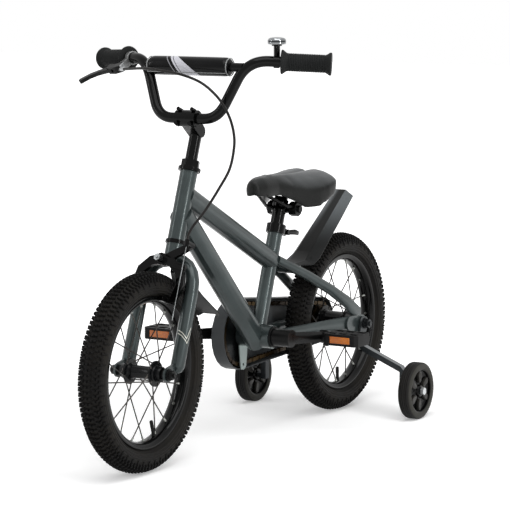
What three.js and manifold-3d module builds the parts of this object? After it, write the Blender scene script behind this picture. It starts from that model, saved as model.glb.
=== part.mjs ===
// A kids' bike with training wheels, as an assembly of separate named pieces.
// Millimetres: X is forward, Y is to the rider's left, Z is up.
// The origin is on the ground, midway between the two wheel axles.

import * as THREE from 'three';
import { mergeVertices } from 'three/addons/utils/BufferGeometryUtils.js';
import Module from 'manifold-3d';

const wasm = await Module();
wasm.setup();

const degree = Math.PI / 180;

// Fits that every piece uses
const gap = 0.3;
const weldDistance = 0.0001;
const cutOverrun = 2;
const joinSink = 1;
const holeSides = 8;
const shaftSides = 12;
const smallSides = 8;
const nutSides = 6;
const arcSteps = 4;
const closeSolveRounds = 30;
const mitreLimitShare = 0.5;

// Wheels: a 14 x 1.95 tyre (50-254) is 350 across
const wheelbase = 688;
const tyreRadius = 175;
const tyreWidth = 50;
const tyreFacets = 32;
const treadDepth = 2.6;
const treadCrownWidth = 15;
const treadShoulderWidth = 36;
const treadShoulderDrop = 4;
const sidewallBulgeShare = 0.45;
const tyreSection = 48;
const beadRadius = tyreRadius - tyreSection;
const rimFlangeHeight = 6;
const rimFlangeRadius = beadRadius + rimFlangeHeight;
const rimDepth = 7;
const rimInnerRadius = beadRadius - rimDepth;
const rimWidth = 30;
const rimFlangeWall = 2.3;
const rimFloorWidth = 14;
const rimWallDrop = 2.5;
const rimWallStart = beadRadius - rimWallDrop;
const rimSides = 20;
const valveLength = 28;
const valveRadius = 3.2;
const valveTipRadius = 2.6;
const frontValveLean = 15.6;
const rearValveLean = 2.4;
const spokeCount = 20;
const spokeRadius = 1.25;
const spokeSides = 3;
const hubSides = 10;
const spokeLaceOffset = 1.7;
const spokeHoleInset = 2.5;
const spokeSweep = 36;

// Front hub and axle
const axleRadius = 4;
const frontHubFlangeRadius = 22.5;
const frontHubFlangeSpread = 52;
const frontHubFlangeThick = 3;
const frontHubBarrelRadius = 11.5;
const frontHubEndRadius = 13;
const frontHubEndEdge = 2.5;
const frontHubLength = 82;
const axleConeRadius = 9;
const axleNutRadius = 8.5;
const rearAxleNutRadius = 9.5;
const axleNutLength = 8;
const axleWasherRadius = 11;
const axleWasherThick = 2;
const axleEndLength = 3;

// Rear coaster hub, its sprocket and the axle
const rearAxleRadius = 4.75;
const rearHubFlangeRadius = 29;
const rearHubFlangeSpread = 54;
const rearHubFlangeThick = 3;
const rearHubBarrelRadius = 19;
const rearHubDriverRadius = 16;
const rearHubDriverReach = 46;
const rearHubBrakeRadius = 22;
const rearHubBrakeEndRadius = 17.5;
const rearHubBrakeReach = 40;
const coasterArmLength = 112;
const coasterArmThick = 3;
const coasterArmHalfWidth = 6;
const coasterArmDrop = 12;
const coasterArmBossRadius = 14;
const coasterArmHoleRadius = 2;

// Steering: the head angle, the fork and the headset
const headAngle = 70;
const forkRake = 26;
const forkCrownRoom = 67;
const headTubeLow = tyreRadius + forkCrownRoom;
const headTubeLength = 125;
const headTubeRadius = 15.75;
const headTubeBore = 13.4;
const steererRadius = 12.7;
const steererTopStand = 17;
const headsetCupRadius = 18.5;
const headsetCupHeight = 6.5;
const headsetTopRadius = 20;
const headsetTopHeight = 7;
const locknutRadius = 16.5;
const locknutLid = 3;
const forkCrownRadius = 16;
const forkCrownHeight = 30;
const forkLegSpread = 102;
const forkLegRadius = 12.5;
const forkLegFoot = 20;
const forkShoulderDown = 36;
const forkShoulderAlong = headTubeLow - forkShoulderDown;
const forkShoulderDrop = 56;
const forkShoulderRoot = 6;
const forkShoulderSteps = 5;
const forkLegSides = 10;
// The closed foot of a leg: shares of its radius down from the leg's end, and of its radius
const forkFootShares = [[0, 1], [0.7, 0.7], [1, 0.2]];
const dropoutHoleShare = 0.42;
const dropoutThick = 4;
const dropoutAxleRadius = 13;
const dropoutLegRadius = 9;
const dropoutHoleRadius = 2.2;

// Frame tubes
const tubeSides = 14;
const topTubeRadius = 19;
const topTubeHeadRise = 82;
const topTubeHeadAlong = headTubeLow + topTubeHeadRise;
const seatTubeLength = 210;
const topTubeSeatDrop = 66;
const topTubeSeatRise = seatTubeLength - topTubeSeatDrop;
const downTubeRadius = 21;
const downTubeHeadRise = 47;
const downTubeHeadAlong = headTubeLow + downTubeHeadRise;
const downTubeDrop = 12;
const seatAngle = 70.7;
const seatTubeRadius = 14.3;
const seatPostInsertion = 100;
const seatTubeBoreRoom = 20;
const seatTubeBoreDepth = seatPostInsertion + seatTubeBoreRoom;
const bracketShellRadius = 22;
const cartridgeRadius = 16.6;
const bracketShellWidth = 68;
const bottomBracketRise = 12;
const bottomBracketHeight = tyreRadius + bottomBracketRise;
const guardTabThick = 2.5;
const guardTabTopRadius = 17;
const guardTabFootRadius = 10;

// Rear stays and dropouts
const chainstayRootSpread = 46;
const chainstayHalfThick = 5;
const chainstayRootTall = 8.5;
const chainstayTipTall = 14.5;
const chainstayTipGap = 30;
const chainstayTipRise = 4;
const chainstaySides = 10;
// From the rear axle to the bottom bracket: the share along, and the share of the way in
const chainstayPathShares = [[0, 0], [0.1, 0], [0.36, 0.36], [0.78, 0.9], [1, 1]];
const chainstaySectionShares = [0.36, 0.58, 0.78, 1];
const rearDropoutInner = 53;
const rearDropoutThick = 4;
const rearDropoutRadius = 17;
const rearDropoutReach = 45;
const seatstayRootDrop = 64;
const seatstayRootRise = seatTubeLength - seatstayRootDrop;
const seatstayRootSpread = 26;
const seatstayRadius = 9.5;
const seatstayTipAcross = 5;
const seatstayTipTall = 15;
const seatstayFootRise = 18;
const seatstayFootAhead = 6;
const seatstayBow = 9;
const seatstaySides = 10;
// From the seat tube to the rear axle: shares along, of the bow, out, slimmer and deeper
const seatstayStationShares = [
  [0, 0, 0, 0, 0],
  [0.33, 0.78, 0.42, 0, 0],
  [0.62, 1, 0.76, 0, 0.18],
  [0.82, 0.67, 0.97, 0.72, 0.64],
  [1, 0, 1, 1, 1],
];
const bridgeRadius = 7;
const bridgeStation = 57;

// Chain drive: half inch pitch, 28 and 16 teeth, 70 links
const chainPitch = 12.7;
const chainringTeeth = 28;
const sprocketTeeth = 16;
const chainLinks = 70;
const chainLine = 39;
const rollerRadius = 3.85;
const rollerSides = 5;
const toothThick = 2.2;
const toothRise = 3.4;
const toothTipHalf = 1.1;
const toothSeatTurn = 40;
const linkOffset = 3;
const linkThick = 2;
const linkTall = 8.4;
const straightLinkTurn = 0.001;
const chainringPilotRadius = 14;

// Cranks and pedals
const crankLength = 102;
const crankTilt = 5;
const crankBossRadius = 16.5;
const crankBossInner = 38.6;
const crankBossOuter = 75;
const crankArmInset = 6.5;
const crankArmHalfThick = 5.5;
const crankArmRootTall = 12.5;
const crankArmTipTall = 10;
const crankArmSides = 8;
const crankArmStationShares = [0, 0.5, 1];
const crankEyeRadius = 12.5;
const crankEyeCentre = 85;
const crankEyeThick = 13;
const spindleRadius = 8;
const cartridgeFlangeRadius = 20;
const cartridgeFlangeThick = 3.3;
const pedalInner = 97;
const pedalWidth = 73;
const pedalLength = 55;
const pedalHeight = 22;
const pedalCorner = 6;
const pedalWall = 5.5;
const pedalBarrelRadius = 9;
const pedalAxleRadius = 5;
const pedalCollarRadius = 8;
const pedalWindowRows = 3;

// Chain guard
const guardFrontRoom = 10.3;
const guardRearRoom = 12.45;
const guardWall = 2;
const guardArcSteps = 6;
const guardInner = 32.6;
const guardOuter = 59.3;
const guardCrankClearance = 4;
const guardStayClearance = 3;

// Stabilisers
const stabiliserRadius = 55;
const stabiliserTyreWidth = 25;
const stabiliserTrack = 366;
const stabiliserAhead = 12.7;
const stabiliserBarWidth = 14;
const stabiliserBarThick = 11;
const stabiliserElbowDrop = 47;
const stabiliserElbowHeight = tyreRadius - stabiliserElbowDrop;
const stabiliserKneeDrop = 33;
const stabiliserKneeHeight = stabiliserElbowHeight - stabiliserKneeDrop;
const stabiliserWheelOutset = 54;
const stabiliserKneeSpread = stabiliserTrack - stabiliserWheelOutset;
const stabiliserPlateThick = 4;
const stabiliserPlateRadius = 14;
const stabiliserPlateFootRise = 22;
const stabiliserPlateFootRadius = 9;
const stabiliserAxleRadius = 5;
const stabiliserNutRadius = 7.5;
const stabiliserNutLength = 6;
const stabiliserHubRadius = 11;
const stabiliserRimRadius = 41;
const stabiliserWebThick = 4;
const stabiliserWebSet = 4;
const stabiliserBevel = 4;
const stabiliserPetals = 6;
const stabiliserPetalTall = 3;
const stabiliserPetalHalfWidth = 6;
const stabiliserPetalWideShare = 0.7;
const stabiliserSides = 16;

// Seat post and saddle
const seatPostRadius = 12.7;
const seatPostFoot = seatTubeLength - seatPostInsertion;
const saddleClampStand = 39;
const saddleClampRise = seatTubeLength + saddleClampStand;
const seatPostOver = 17;
const seatPostTop = saddleClampRise + seatPostOver;
const saddleBoltBehind = 17.5;
const saddleBoltTubeRadius = 9;
const seatCollarRadius = 15;
const seatCollarHeight = 24;
const seatClampRadius = 18.5;
const seatClampHeight = 17;
const seatClampEarReach = 29;
const seatClampEarHalfWidth = 5;
const seatClampSlot = 3;
const seatClampLip = 3;
const seatClampEarShare = 0.8;
const quickAxisShare = 0.55;
const quickLeverLength = 36;
const quickLeverHeadRadius = 5.5;
// The lever from its head to its tip: shares of its length, then out, down, half thick and half tall
const quickLeverStations = [[0, 1, 0, 3.5, 4.5], [0.5, 6, 1, 2.5, 5.5], [1, 3, 5, 2, 4.5]];
const quickLeverRadius = 4.5;
const quickBoltRadius = 2.8;
const quickBoltHalfLength = 12;
const clampJawInner = 15.5;
const clampJawOuter = 31;
const clampJawRadius = 14;
const clampBoltRadius = 4;
const clampBoltHeadRadius = 7;
const clampBoltHeadLength = 5;
const railRadius = 3.5;
const railSpread = 46;
const railSides = 6;
const railNoseSpread = 16;
const railRise = 6;
const railCorner = 6;
const railNoseShare = 0.17;
const railTailShare = 0.88;
const railFlatShare = 0.13;
const railNoseRiseShare = 0.7;
const saddleNoseAhead = 106.7;
const saddleLength = 218;
const saddleWidth = 140;
const saddleNoseRise = 52;
const saddleTailRise = 62;
const saddleThick = 26;
const saddleSkirt = 62;
const saddleChannelDepth = 4;
const saddleBaseThick = 4;
const saddleBaseDrop = 1.5;
const saddleBaseShare = 0.55;
const saddleFallShare = 0.45;
const saddleCrownPower = 3;
const saddleChannelShare = 0.3;
const saddleSkirtOuterShare = 0.96;
const saddleSkirtInnerShare = 0.84;
const saddleCrownShares = [0, 0.12, 0.3, 0.55, 0.8, 0.95, 1];
const saddleBaseEndShares = [0.12, 0.92];
// From nose to tail: shares along, of the half width, of the rise, of the skirt, of the channel
const saddleStationShares = [
  [0, 0.1, -0.35, 0.2, 0],
  [0.025, 0.2, 0.3, 0.36, 0],
  [0.12, 0.286, 0.7, 0.48, 0.2],
  [0.3, 0.32, 0.85, 0.52, 0.7],
  [0.45, 0.49, 0.8, 0.72, 1],
  [0.58, 0.72, 0.8, 1, 1],
  [0.7, 0.89, 0.85, 1, 1],
  [0.82, 0.985, 0.95, 0.87, 1],
  [0.92, 1, 1, 0.76, 0.8],
  [0.98, 0.9, 0.95, 0.62, 0.5],
  [1, 0.7, 0.65, 0.42, 0.2],
];
const saddleUnderShare = 0.7;
const saddleCentreShare = 0.72;

// Mudguards
const mudguardWall = 2.4;
const frontMudguardBendShare = 0.62;
const rearMudguardBendShare = 0.5;
// A tab round a bolt: above and below the bolt's height
const frontMudguardTabEnds = [8, -11];
// After the tab: the angle round the wheel, then shares of the half width and of the side
const frontMudguardTurns = [[20, 0.62, 0.5], [32, 0.94, 1]];
// Along the straight blade: shares along, of the half width and of the side
const frontMudguardBladeShares = [[0.8, 1, 1], [1, 0.62, 0.9]];
// From the foot to the tip: shares along, from root to tip width, and of the side
const rearMudguardShares = [[0, -0.2, 0.5], [0.12, 0, 1], [0.4, 0.3, 1], [0.7, 0.6, 1], [1, 1, 1]];
const rearMudguardFootShare = 0.35;
const frontMudguardWidth = 64;
const frontMudguardTabWidth = 22;
const frontMudguardSkirt = 7;
const frontMudguardTailBackShare = 0.317;
const frontMudguardTailRise = 76;
const mudguardTyreGap = 22;
const rearMudguardRootWidth = 62;
const rearMudguardTipWidth = 46;
const rearMudguardLength = 206;
const rearMudguardAngle = 36;
const rearMudguardSkirt = 15;
const rearMudguardTyreGap = 9;
const rearMudguardRootBack = 120;
const mudguardTongueWidth = 20;

// Stem and handlebar, in the steering frame: forward, left, along
const barRadius = 9.5;
const barClampForward = 35;
const barClampRise = 87.5;
const barFloorHalf = 61;
const barShoulderHalf = 105.5;
const barShoulderForward = 9;
const barShoulderRise = 106;
const barEndHalf = 239;
const barEndForward = -51;
const barEndRise = 121.5;
const barFloorBend = 38;
const barShoulderBend = 29;
const barSteps = 4;
const barSides = 8;
const crossbarRise = 93;
const crossbarRadius = 8;
const crossbarPadRadius = 18.5;
const crossbarPadHalf = 84;
const crossbarPadShift = 10;
const crossbarPadRound = 2.2;
const crossbarPadSides = 10;
const quillRadius = 11;
const quillInsertion = 42;
const quillUnderClamp = 2.5;
const stemClampRadius = 15;
const stemClampHalf = 21;
const stemNeckHalf = 12;
const stemNeckRadius = 11;
const stemNeckEndRadius = 12;
const stemBoltInset = 7;
const stemBoltReach = 15.5;
const stemSplit = 2.5;
const stemBoltRadius = 3.6;
const expanderRadius = 8;
const expanderHeight = 7;

// Grips
const gripLength = 88;
const gripInnerFlangeRadius = 21.5;
const gripOuterFlangeRadius = 20;
const gripRadius = 15.8;
const gripFlangeWidth = 3;
const gripFlareRun = 7;
const gripEdge = 1;
const gripEndWall = 4;
const gripSides = 12;

// Bell
const bellFromGrip = 8;
const bellBandHalf = 5;
const bellBandRadius = 11.6;
const bellStalkRadius = 5.5;
const bellBaseRadius = 9;
const bellBaseThick = 2.5;
const bellDomeRise = 30;
const bellDomeRadius = 16;
const bellDomeHeight = 12.8;
const bellDomeShares = [[1, 0.6], [0.86, 0.85], [0.5, 0.97]];
const bellStrikerLength = 17;
const bellStrikerRadius = 2.4;
const bellStrikerTipRadius = 1.7;
const bellStrikerBallRadius = 3.4;
const bellStrikerBallRows = 4;

// Brake lever on the right bar
const leverBandFromGrip = 10;
const leverBandHalf = 5;
const leverBandRadius = 12.5;
const leverPivotOut = 26;
const leverPivotDown = 33;
const leverHeading = [0.47, -0.386, -0.794];
const leverYokeKneeShare = 0.5;
const leverYokeHalves = [5, 8, 6, 6];
const leverYokeEnd = 7.5;
const leverSlotDepth = 20;
const leverBracketHalf = 7;
const leverPinRadius = 2.5;
const leverBladeThick = 7;
const leverBladeReach = 62;
const leverBladeDrop = 34;
// From the pivot to the tip: shares of the blade's reach and of its drop
const leverBladeShares = [[-0.04, 0], [0.12, 0.05], [0.32, 0.18], [0.55, 0.34], [0.8, 0.6], [1, 1]];
const leverBladeHalves = [5, 6.2, 5.2, 4.6, 5, 5.4];
const leverTipRadius = 6;
const adjusterRadius = 4;
const adjusterLength = 12;

// Front brake
const caliperUnderShoulder = 6;
const caliperAlong = forkShoulderAlong - caliperUnderShoulder;
const caliperBoltRadius = 3;
const caliperBoltHead = 6.5;
const caliperBoltFront = 54;
const caliperNutLength = 5;
const caliperNutBack = 3;
const caliperSpacerRadius = 7.8;
const caliperClampBoltRadius = 5.2;
const caliperPlateThick = 8;
const caliperStandOff = 21;
const caliperBossRadius = 11;
const caliperArchHalf = 43;
// From the pad to the pivot: shares of the arch's half width and of the rise from the pad
const caliperArmShares = [[0.72, -0.07], [0.84, 0.16], [1, 0.42], [0.86, 0.72], [0.45, 0.94], [0, 1]];
const caliperArmHalves = [5, 6, 7, 8, 8.5, 9];
const caliperLugHalves = [8, 5.5];
const brakeAnchorHead = 3.5;
const brakeStopBossRadius = 5;
const brakePadBoltReach = 13;
const brakePadGap = 2.5;
const brakePadThick = 8;
const brakePadTall = 9;
const brakePadLength = 44;
const brakeTrackDrop = 4.3;
const brakeTrackRadius = rimFlangeRadius - brakeTrackDrop;
const brakeStopLeft = 50.5;
const brakeStopRise = 29.5;
const brakeStopAlong = caliperAlong + brakeStopRise;
const brakeAnchorDrop = 13.5;
const brakeAnchorAlong = caliperAlong - brakeAnchorDrop;
const brakeStopRadius = 4.2;
const brakeStopHeight = 13;
const brakeWireRadius = 0.9;
const brakeWireTail = 90;
const brakeWireTailForward = 2;
const brakeWireCapRadius = 1.6;
const brakeWireCapAbove = 8;
const brakeWireCapUnder = 4;
const cableRadius = 2.5;
const cableSides = 8;
const cableSteps = 34;
const cableLead = 12;
const cableStopRun = 8;
const cableStopLead = 22;
const cableStopSwing = 5;
// The cable's bow in front of the bars, in the steering frame
const cableRoute = [
  [76, -80, 531], [80, -48, 527], [80, -4, 521], [77, 38, 509], [71, 62, 495], [64, 83, 476],
  [54, 100, 449], [46, 109, 420], [40, 109, 396], [38, 106, 365], [40, 94, 331], [42, 75, 289],
];

// Derived places
const steeringTilt = (90 - headAngle) * degree;
const frontAxleX = wheelbase / 2;
const rearAxleX = -wheelbase / 2;
const steerFootX = frontAxleX - forkRake * Math.cos(steeringTilt);
const steerFootZ = tyreRadius - forkRake * Math.sin(steeringTilt);
const headTubeHigh = headTubeLow + headTubeLength;
const quillFoot = headTubeHigh - quillInsertion;
const barClampAlong = headTubeHigh + barClampRise;
const quillTop = barClampAlong - quillUnderClamp;
const chainringPitchRadius = chainPitch / (2 * Math.sin(Math.PI / chainringTeeth));
const sprocketPitchRadius = chainPitch / (2 * Math.sin(Math.PI / sprocketTeeth));
const guardFrontRadius = chainringPitchRadius + guardFrontRoom;
const guardRearRadius = sprocketPitchRadius + guardRearRoom;
const axleHeightDrop = bottomBracketHeight - tyreRadius;
const chainCentres = solveChainCentres();
const bottomBracketX = rearAxleX + Math.sqrt(chainCentres ** 2 - axleHeightDrop ** 2);
const saddleSeat = onSeatTube(saddleClampRise);
const saddleNoseX = saddleSeat.x + saddleNoseAhead;
const saddleNoseHeight = saddleSeat.z + saddleNoseRise;
const saddleTailHeight = saddleSeat.z + saddleTailRise;

const finishes = {
  frame: { color: 0x3c4746, roughness: 0.42, metalness: 0.6 },
  glossBlack: { color: 0x0c0c0d, roughness: 0.18, metalness: 0.3 },
  satinBlack: { color: 0x191a1a, roughness: 0.5, metalness: 0.1 },
  plastic: { color: 0x2b2c2b, roughness: 0.55, metalness: 0 },
  rubber: { color: 0x161616, roughness: 0.85, metalness: 0 },
  vinyl: { color: 0x1d1d1e, roughness: 0.65, metalness: 0 },
  foam: { color: 0x101113, roughness: 0.3, metalness: 0 },
  zinc: { color: 0xb9bcbd, roughness: 0.35, metalness: 0.9 },
  chrome: { color: 0xd8dadb, roughness: 0.1, metalness: 1 },
  steel: { color: 0x4d5254, roughness: 0.4, metalness: 0.8 },
  chain: { color: 0x4a3c30, roughness: 0.45, metalness: 0.8 },
  silver: { color: 0x9a9c9c, roughness: 0.4, metalness: 0.6 },
};

// Shape tools

function vec(x, y, z) {
  return new THREE.Vector3(x, y, z);
}

// A closed mesh as a solid for cutting and joining, with its faces turned outwards.
function solid(shape) {
  if (!shape.isBufferGeometry) return shape;
  const bare = new THREE.BufferGeometry();
  bare.setAttribute('position', shape.attributes.position.clone());
  if (shape.index) bare.setIndex(shape.index.clone());
  const merged = mergeVertices(bare, weldDistance);
  const points = merged.attributes.position.array;
  const index = merged.index.array;
  const triangles = [];
  let volume = 0;
  for (let i = 0; i < index.length; i += 3) {
    const [a, b, c] = [index[i], index[i + 1], index[i + 2]];
    if (a === b || b === c || c === a) continue;
    triangles.push(a, b, c);
    const corner = (n) => vec(points[3 * n], points[3 * n + 1], points[3 * n + 2]);
    volume += corner(a).dot(corner(b).cross(corner(c)));
  }
  if (volume < 0) triangles.reverse();
  const mesh = new wasm.Mesh({
    numProp: 3,
    vertProperties: new Float32Array(points),
    triVerts: new Uint32Array(triangles),
  });
  return new wasm.Manifold(mesh);
}

function join(...shapes) {
  return shapes.map(solid).reduce((whole, next) => whole.add(next));
}

function cut(shape, ...tools) {
  return tools.map(solid).reduce((whole, next) => whole.subtract(next), solid(shape));
}

function geometryOf(shape) {
  const mesh = solid(shape).getMesh();
  const geometry = new THREE.BufferGeometry();
  const position = new THREE.BufferAttribute(new Float32Array(mesh.vertProperties), mesh.numProp);
  geometry.setAttribute('position', position);
  geometry.setIndex(new THREE.BufferAttribute(new Uint32Array(mesh.triVerts), 1));
  geometry.computeVertexNormals();
  return geometry;
}

function piece(group, name, shape, finish) {
  const mesh = new THREE.Mesh(geometryOf(shape), new THREE.MeshStandardMaterial({ ...finish }));
  mesh.name = name;
  group.add(mesh);
  return mesh;
}

// Stands a shape made along +Y from the origin on a point, turned to a direction.
function stood(shape, from, direction) {
  const turn = new THREE.Quaternion().setFromUnitVectors(vec(0, 1, 0), direction.clone().normalize());
  shape.applyQuaternion(turn);
  shape.translate(from.x, from.y, from.z);
  return shape;
}

function rod(from, to, radius, sides = shaftSides, endRadius = radius) {
  const direction = to.clone().sub(from);
  const length = direction.length();
  const shape = new THREE.CylinderGeometry(endRadius, radius, length, sides);
  shape.translate(0, length / 2, 0);
  return stood(shape, from, direction);
}

// A rod that lies across the bike, parallel to Y.
function crossRod(x, z, low, high, radius, sides = shaftSides) {
  return rod(vec(x, low, z), vec(x, high, z), radius, sides);
}

// The corner radius of a many-sided hole that clears a shaft all round.
function snug(radius, sides) {
  return (radius + gap) / Math.cos(Math.PI / sides);
}

// A cutting tool for the hole that a shaft runs in, longer than the run at both ends.
function bore(from, to, radius, sides = holeSides) {
  const over = to.clone().sub(from).normalize().multiplyScalar(cutOverrun);
  return rod(from.clone().sub(over), to.clone().add(over), snug(radius, sides), sides);
}

// A turned part about the Y axis; a profile off the axis is closed into a ring.
function turned(profile, sides, startAngle = 0) {
  const onAxis = profile[0][0] === 0 && profile[profile.length - 1][0] === 0;
  const closed = onAxis ? profile : [...profile, profile[0]];
  return new THREE.LatheGeometry(closed.map(([r, y]) => new THREE.Vector2(r, y)), sides, startAngle);
}

// A ring that runs on a shaft.
function sleeve(from, to, shaft, radius, sides = shaftSides) {
  const direction = to.clone().sub(from);
  const length = direction.length();
  const inside = snug(shaft, sides);
  const ring = turned([[inside, 0], [radius, 0], [radius, length], [inside, length]], sides);
  return stood(ring, from, direction);
}

// An outline in X and Z, as thick as from low to high along Y.
function slabXZ(outline, low, high, steps = arcSteps) {
  const options = { depth: high - low, bevelEnabled: false, curveSegments: steps };
  const shape = new THREE.ExtrudeGeometry(outline, options);
  shape.rotateX(Math.PI / 2);
  shape.translate(0, high, 0);
  return shape;
}

// An outline in Y and Z, as thick as from low to high along X.
function slabYZ(outline, low, high) {
  const options = { depth: high - low, bevelEnabled: false, curveSegments: arcSteps };
  const shape = new THREE.ExtrudeGeometry(outline, options);
  const turn = new THREE.Matrix4().makeBasis(vec(0, 1, 0), vec(0, 0, 1), vec(1, 0, 0));
  shape.applyMatrix4(turn);
  shape.translate(low, 0, 0);
  return shape;
}

// An outline in X and Y, as thick as from low to high along Z.
function slabXY(outline, low, high) {
  const options = { depth: high - low, bevelEnabled: false, curveSegments: arcSteps };
  const shape = new THREE.ExtrudeGeometry(outline, options);
  shape.translate(0, 0, low);
  return shape;
}

function box(low, high) {
  const size = high.clone().sub(low);
  const shape = new THREE.BoxGeometry(size.x, size.y, size.z);
  const middle = low.clone().lerp(high, 0.5);
  shape.translate(middle.x, middle.y, middle.z);
  return shape;
}

// The outline round two circles and the tangents between them.
function strap(x1, z1, r1, x2, z2, r2) {
  const heading = Math.atan2(z2 - z1, x2 - x1);
  const lean = Math.acos((r1 - r2) / Math.hypot(x2 - x1, z2 - z1));
  const outline = new THREE.Shape();
  outline.absarc(x1, z1, r1, heading + lean, heading - lean + 2 * Math.PI, false);
  outline.absarc(x2, z2, r2, heading - lean, heading + lean, false);
  return outline;
}

// A round hole in an outline that clears a shaft all round.
function roundHole(x, z, radius) {
  const corners = [];
  const reach = snug(radius, holeSides);
  for (let i = 0; i < holeSides; i += 1) {
    const angle = (2 * Math.PI * i) / holeSides;
    corners.push(new THREE.Vector2(x + reach * Math.cos(angle), z + reach * Math.sin(angle)));
  }
  return new THREE.Path(corners);
}

// A flat band that follows points, as wide as the half width at each.
function bandShape(points, halfWidths) {
  const sides = [[], []];
  points.forEach((point, i) => {
    const before = points[Math.max(i - 1, 0)];
    const after = points[Math.min(i + 1, points.length - 1)];
    const run = Math.hypot(after[0] - before[0], after[1] - before[1]);
    const across = [-(after[1] - before[1]) / run, (after[0] - before[0]) / run];
    const half = halfWidths[i];
    sides[0].push(new THREE.Vector2(point[0] + across[0] * half, point[1] + across[1] * half));
    sides[1].push(new THREE.Vector2(point[0] - across[0] * half, point[1] - across[1] * half));
  });
  return new THREE.Shape([...sides[0], ...sides[1].reverse()]);
}

// Joins rings of points into a skin, with flat ends or closed round on itself.
function loft(rings, closed = false) {
  const count = rings[0].length;
  const index = [];
  const spans = closed ? rings.length : rings.length - 1;
  for (let r = 0; r < spans; r += 1) {
    const next = (r + 1) % rings.length;
    for (let i = 0; i < count; i += 1) {
      const j = (i + 1) % count;
      const [a, b] = [r * count + i, r * count + j];
      const [c, d] = [next * count + j, next * count + i];
      index.push(a, b, c, a, c, d);
    }
  }
  if (!closed) {
    endFaces(rings[0]).forEach(([a, b, c]) => index.push(a, c, b));
    const last = (rings.length - 1) * count;
    endFaces(rings[rings.length - 1]).forEach(([a, b, c]) => index.push(last + a, last + b, last + c));
  }
  const shape = new THREE.BufferGeometry();
  const values = rings.flat().flatMap((point) => [point.x, point.y, point.z]);
  shape.setAttribute('position', new THREE.Float32BufferAttribute(values, 3));
  shape.setIndex(index);
  return shape;
}

// Triangles of a flat ring, in the ring's own turning direction.
function endFaces(ring) {
  const normal = vec(0, 0, 0);
  ring.forEach((point, i) => normal.add(point.clone().cross(ring[(i + 1) % ring.length])));
  normal.normalize();
  const side = Math.abs(normal.y) < 0.9 ? vec(0, 1, 0) : vec(1, 0, 0);
  const u = side.cross(normal).normalize();
  const v = normal.clone().cross(u);
  const flat = ring.map((point) => new THREE.Vector2(point.dot(u), point.dot(v)));
  return THREE.ShapeUtils.triangulateShape(flat, []);
}

// A tube of oval section through stations that give its half sizes across Y and upright to it.
function ovalTube(stations, sides) {
  const rings = stations.map((station, i) => {
    const before = stations[Math.max(i - 1, 0)].at;
    const after = stations[Math.min(i + 1, stations.length - 1)].at;
    const along = after.clone().sub(before).normalize();
    const up = along.clone().cross(vec(0, 1, 0)).normalize();
    const across = up.clone().cross(along).normalize();
    const ring = [];
    for (let s = 0; s < sides; s += 1) {
      const angle = (2 * Math.PI * (s + 0.5)) / sides;
      ring.push(station.at.clone()
        .addScaledVector(across, Math.cos(angle) * station.across)
        .addScaledVector(up, Math.sin(angle) * station.tall));
    }
    return ring;
  });
  return loft(rings);
}

function circleShape(radius, sides) {
  const points = [];
  for (let i = 0; i < sides; i += 1) {
    const angle = (2 * Math.PI * i) / sides;
    points.push(new THREE.Vector2(Math.cos(angle) * radius, Math.sin(angle) * radius));
  }
  return new THREE.Shape(points);
}

function tube(curve, radius, sides, steps) {
  return new THREE.ExtrudeGeometry(circleShape(radius, sides), { steps, extrudePath: curve });
}

// A path through points, with a rounded bend in a few steps at each point inside it.
function bentPath(points, bends, steps) {
  const path = [points[0]];
  for (let i = 1; i < points.length - 1; i += 1) {
    const corner = points[i];
    const inward = points[i - 1].clone().sub(corner).normalize().multiplyScalar(bends[i - 1]);
    const outward = points[i + 1].clone().sub(corner).normalize().multiplyScalar(bends[i - 1]);
    const [start, finish] = [corner.clone().add(inward), corner.clone().add(outward)];
    path.push(...new THREE.QuadraticBezierCurve3(start, corner, finish).getPoints(steps));
  }
  path.push(points[points.length - 1]);
  return path;
}

// A round tube through places with a radius each, whose rings turn with the path and don't twist.
function sweep(places, sides) {
  const directions = places.map((place, i) => {
    const before = places[Math.max(i - 1, 0)].at;
    const after = places[Math.min(i + 1, places.length - 1)].at;
    return after.clone().sub(before).normalize();
  });
  const first = directions[0];
  const aside = Math.abs(first.y) < 0.9 ? vec(0, 1, 0) : vec(1, 0, 0);
  let u = aside.cross(first).normalize();
  const rings = places.map(({ at, radius }, i) => {
    if (i > 0) {
      const turn = new THREE.Quaternion().setFromUnitVectors(directions[i - 1], directions[i]);
      u = u.clone().applyQuaternion(turn).normalize();
    }
    const v = directions[i].clone().cross(u);
    const ring = [];
    for (let s = 0; s < sides; s += 1) {
      const angle = (2 * Math.PI * s) / sides;
      const out = u.clone().multiplyScalar(Math.cos(angle)).addScaledVector(v, Math.sin(angle));
      ring.push(at.clone().addScaledVector(out, radius));
    }
    return ring;
  });
  return loft(rings);
}

function mix(a, b, share) {
  return a + (b - a) * share;
}

// Places on the frame

function onSteering(forward, left, along) {
  return vec(
    steerFootX + forward * Math.cos(steeringTilt) - along * Math.sin(steeringTilt),
    left,
    steerFootZ + forward * Math.sin(steeringTilt) + along * Math.cos(steeringTilt),
  );
}

function onSeatTube(rise, left = 0, ahead = 0) {
  const lean = seatAngle * degree;
  return vec(
    bottomBracketX - rise * Math.cos(lean) + ahead * Math.sin(lean),
    left,
    bottomBracketHeight + rise * Math.sin(lean) + ahead * Math.cos(lean),
  );
}

// Chain: the centre distance at which the chain's links just close

function solveChainCentres() {
  let centres = (chainLinks * chainPitch) / 2;
  for (let round = 0; round < closeSolveRounds; round += 1) {
    const lean = Math.asin((chainringPitchRadius - sprocketPitchRadius) / centres);
    const [sum, difference] = [chainringTeeth + sprocketTeeth, chainringTeeth - sprocketTeeth];
    const wrapped = sum / 2 + (lean * difference) / Math.PI;
    centres = ((chainLinks - wrapped) * chainPitch) / (2 * Math.cos(lean));
  }
  return centres;
}

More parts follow.
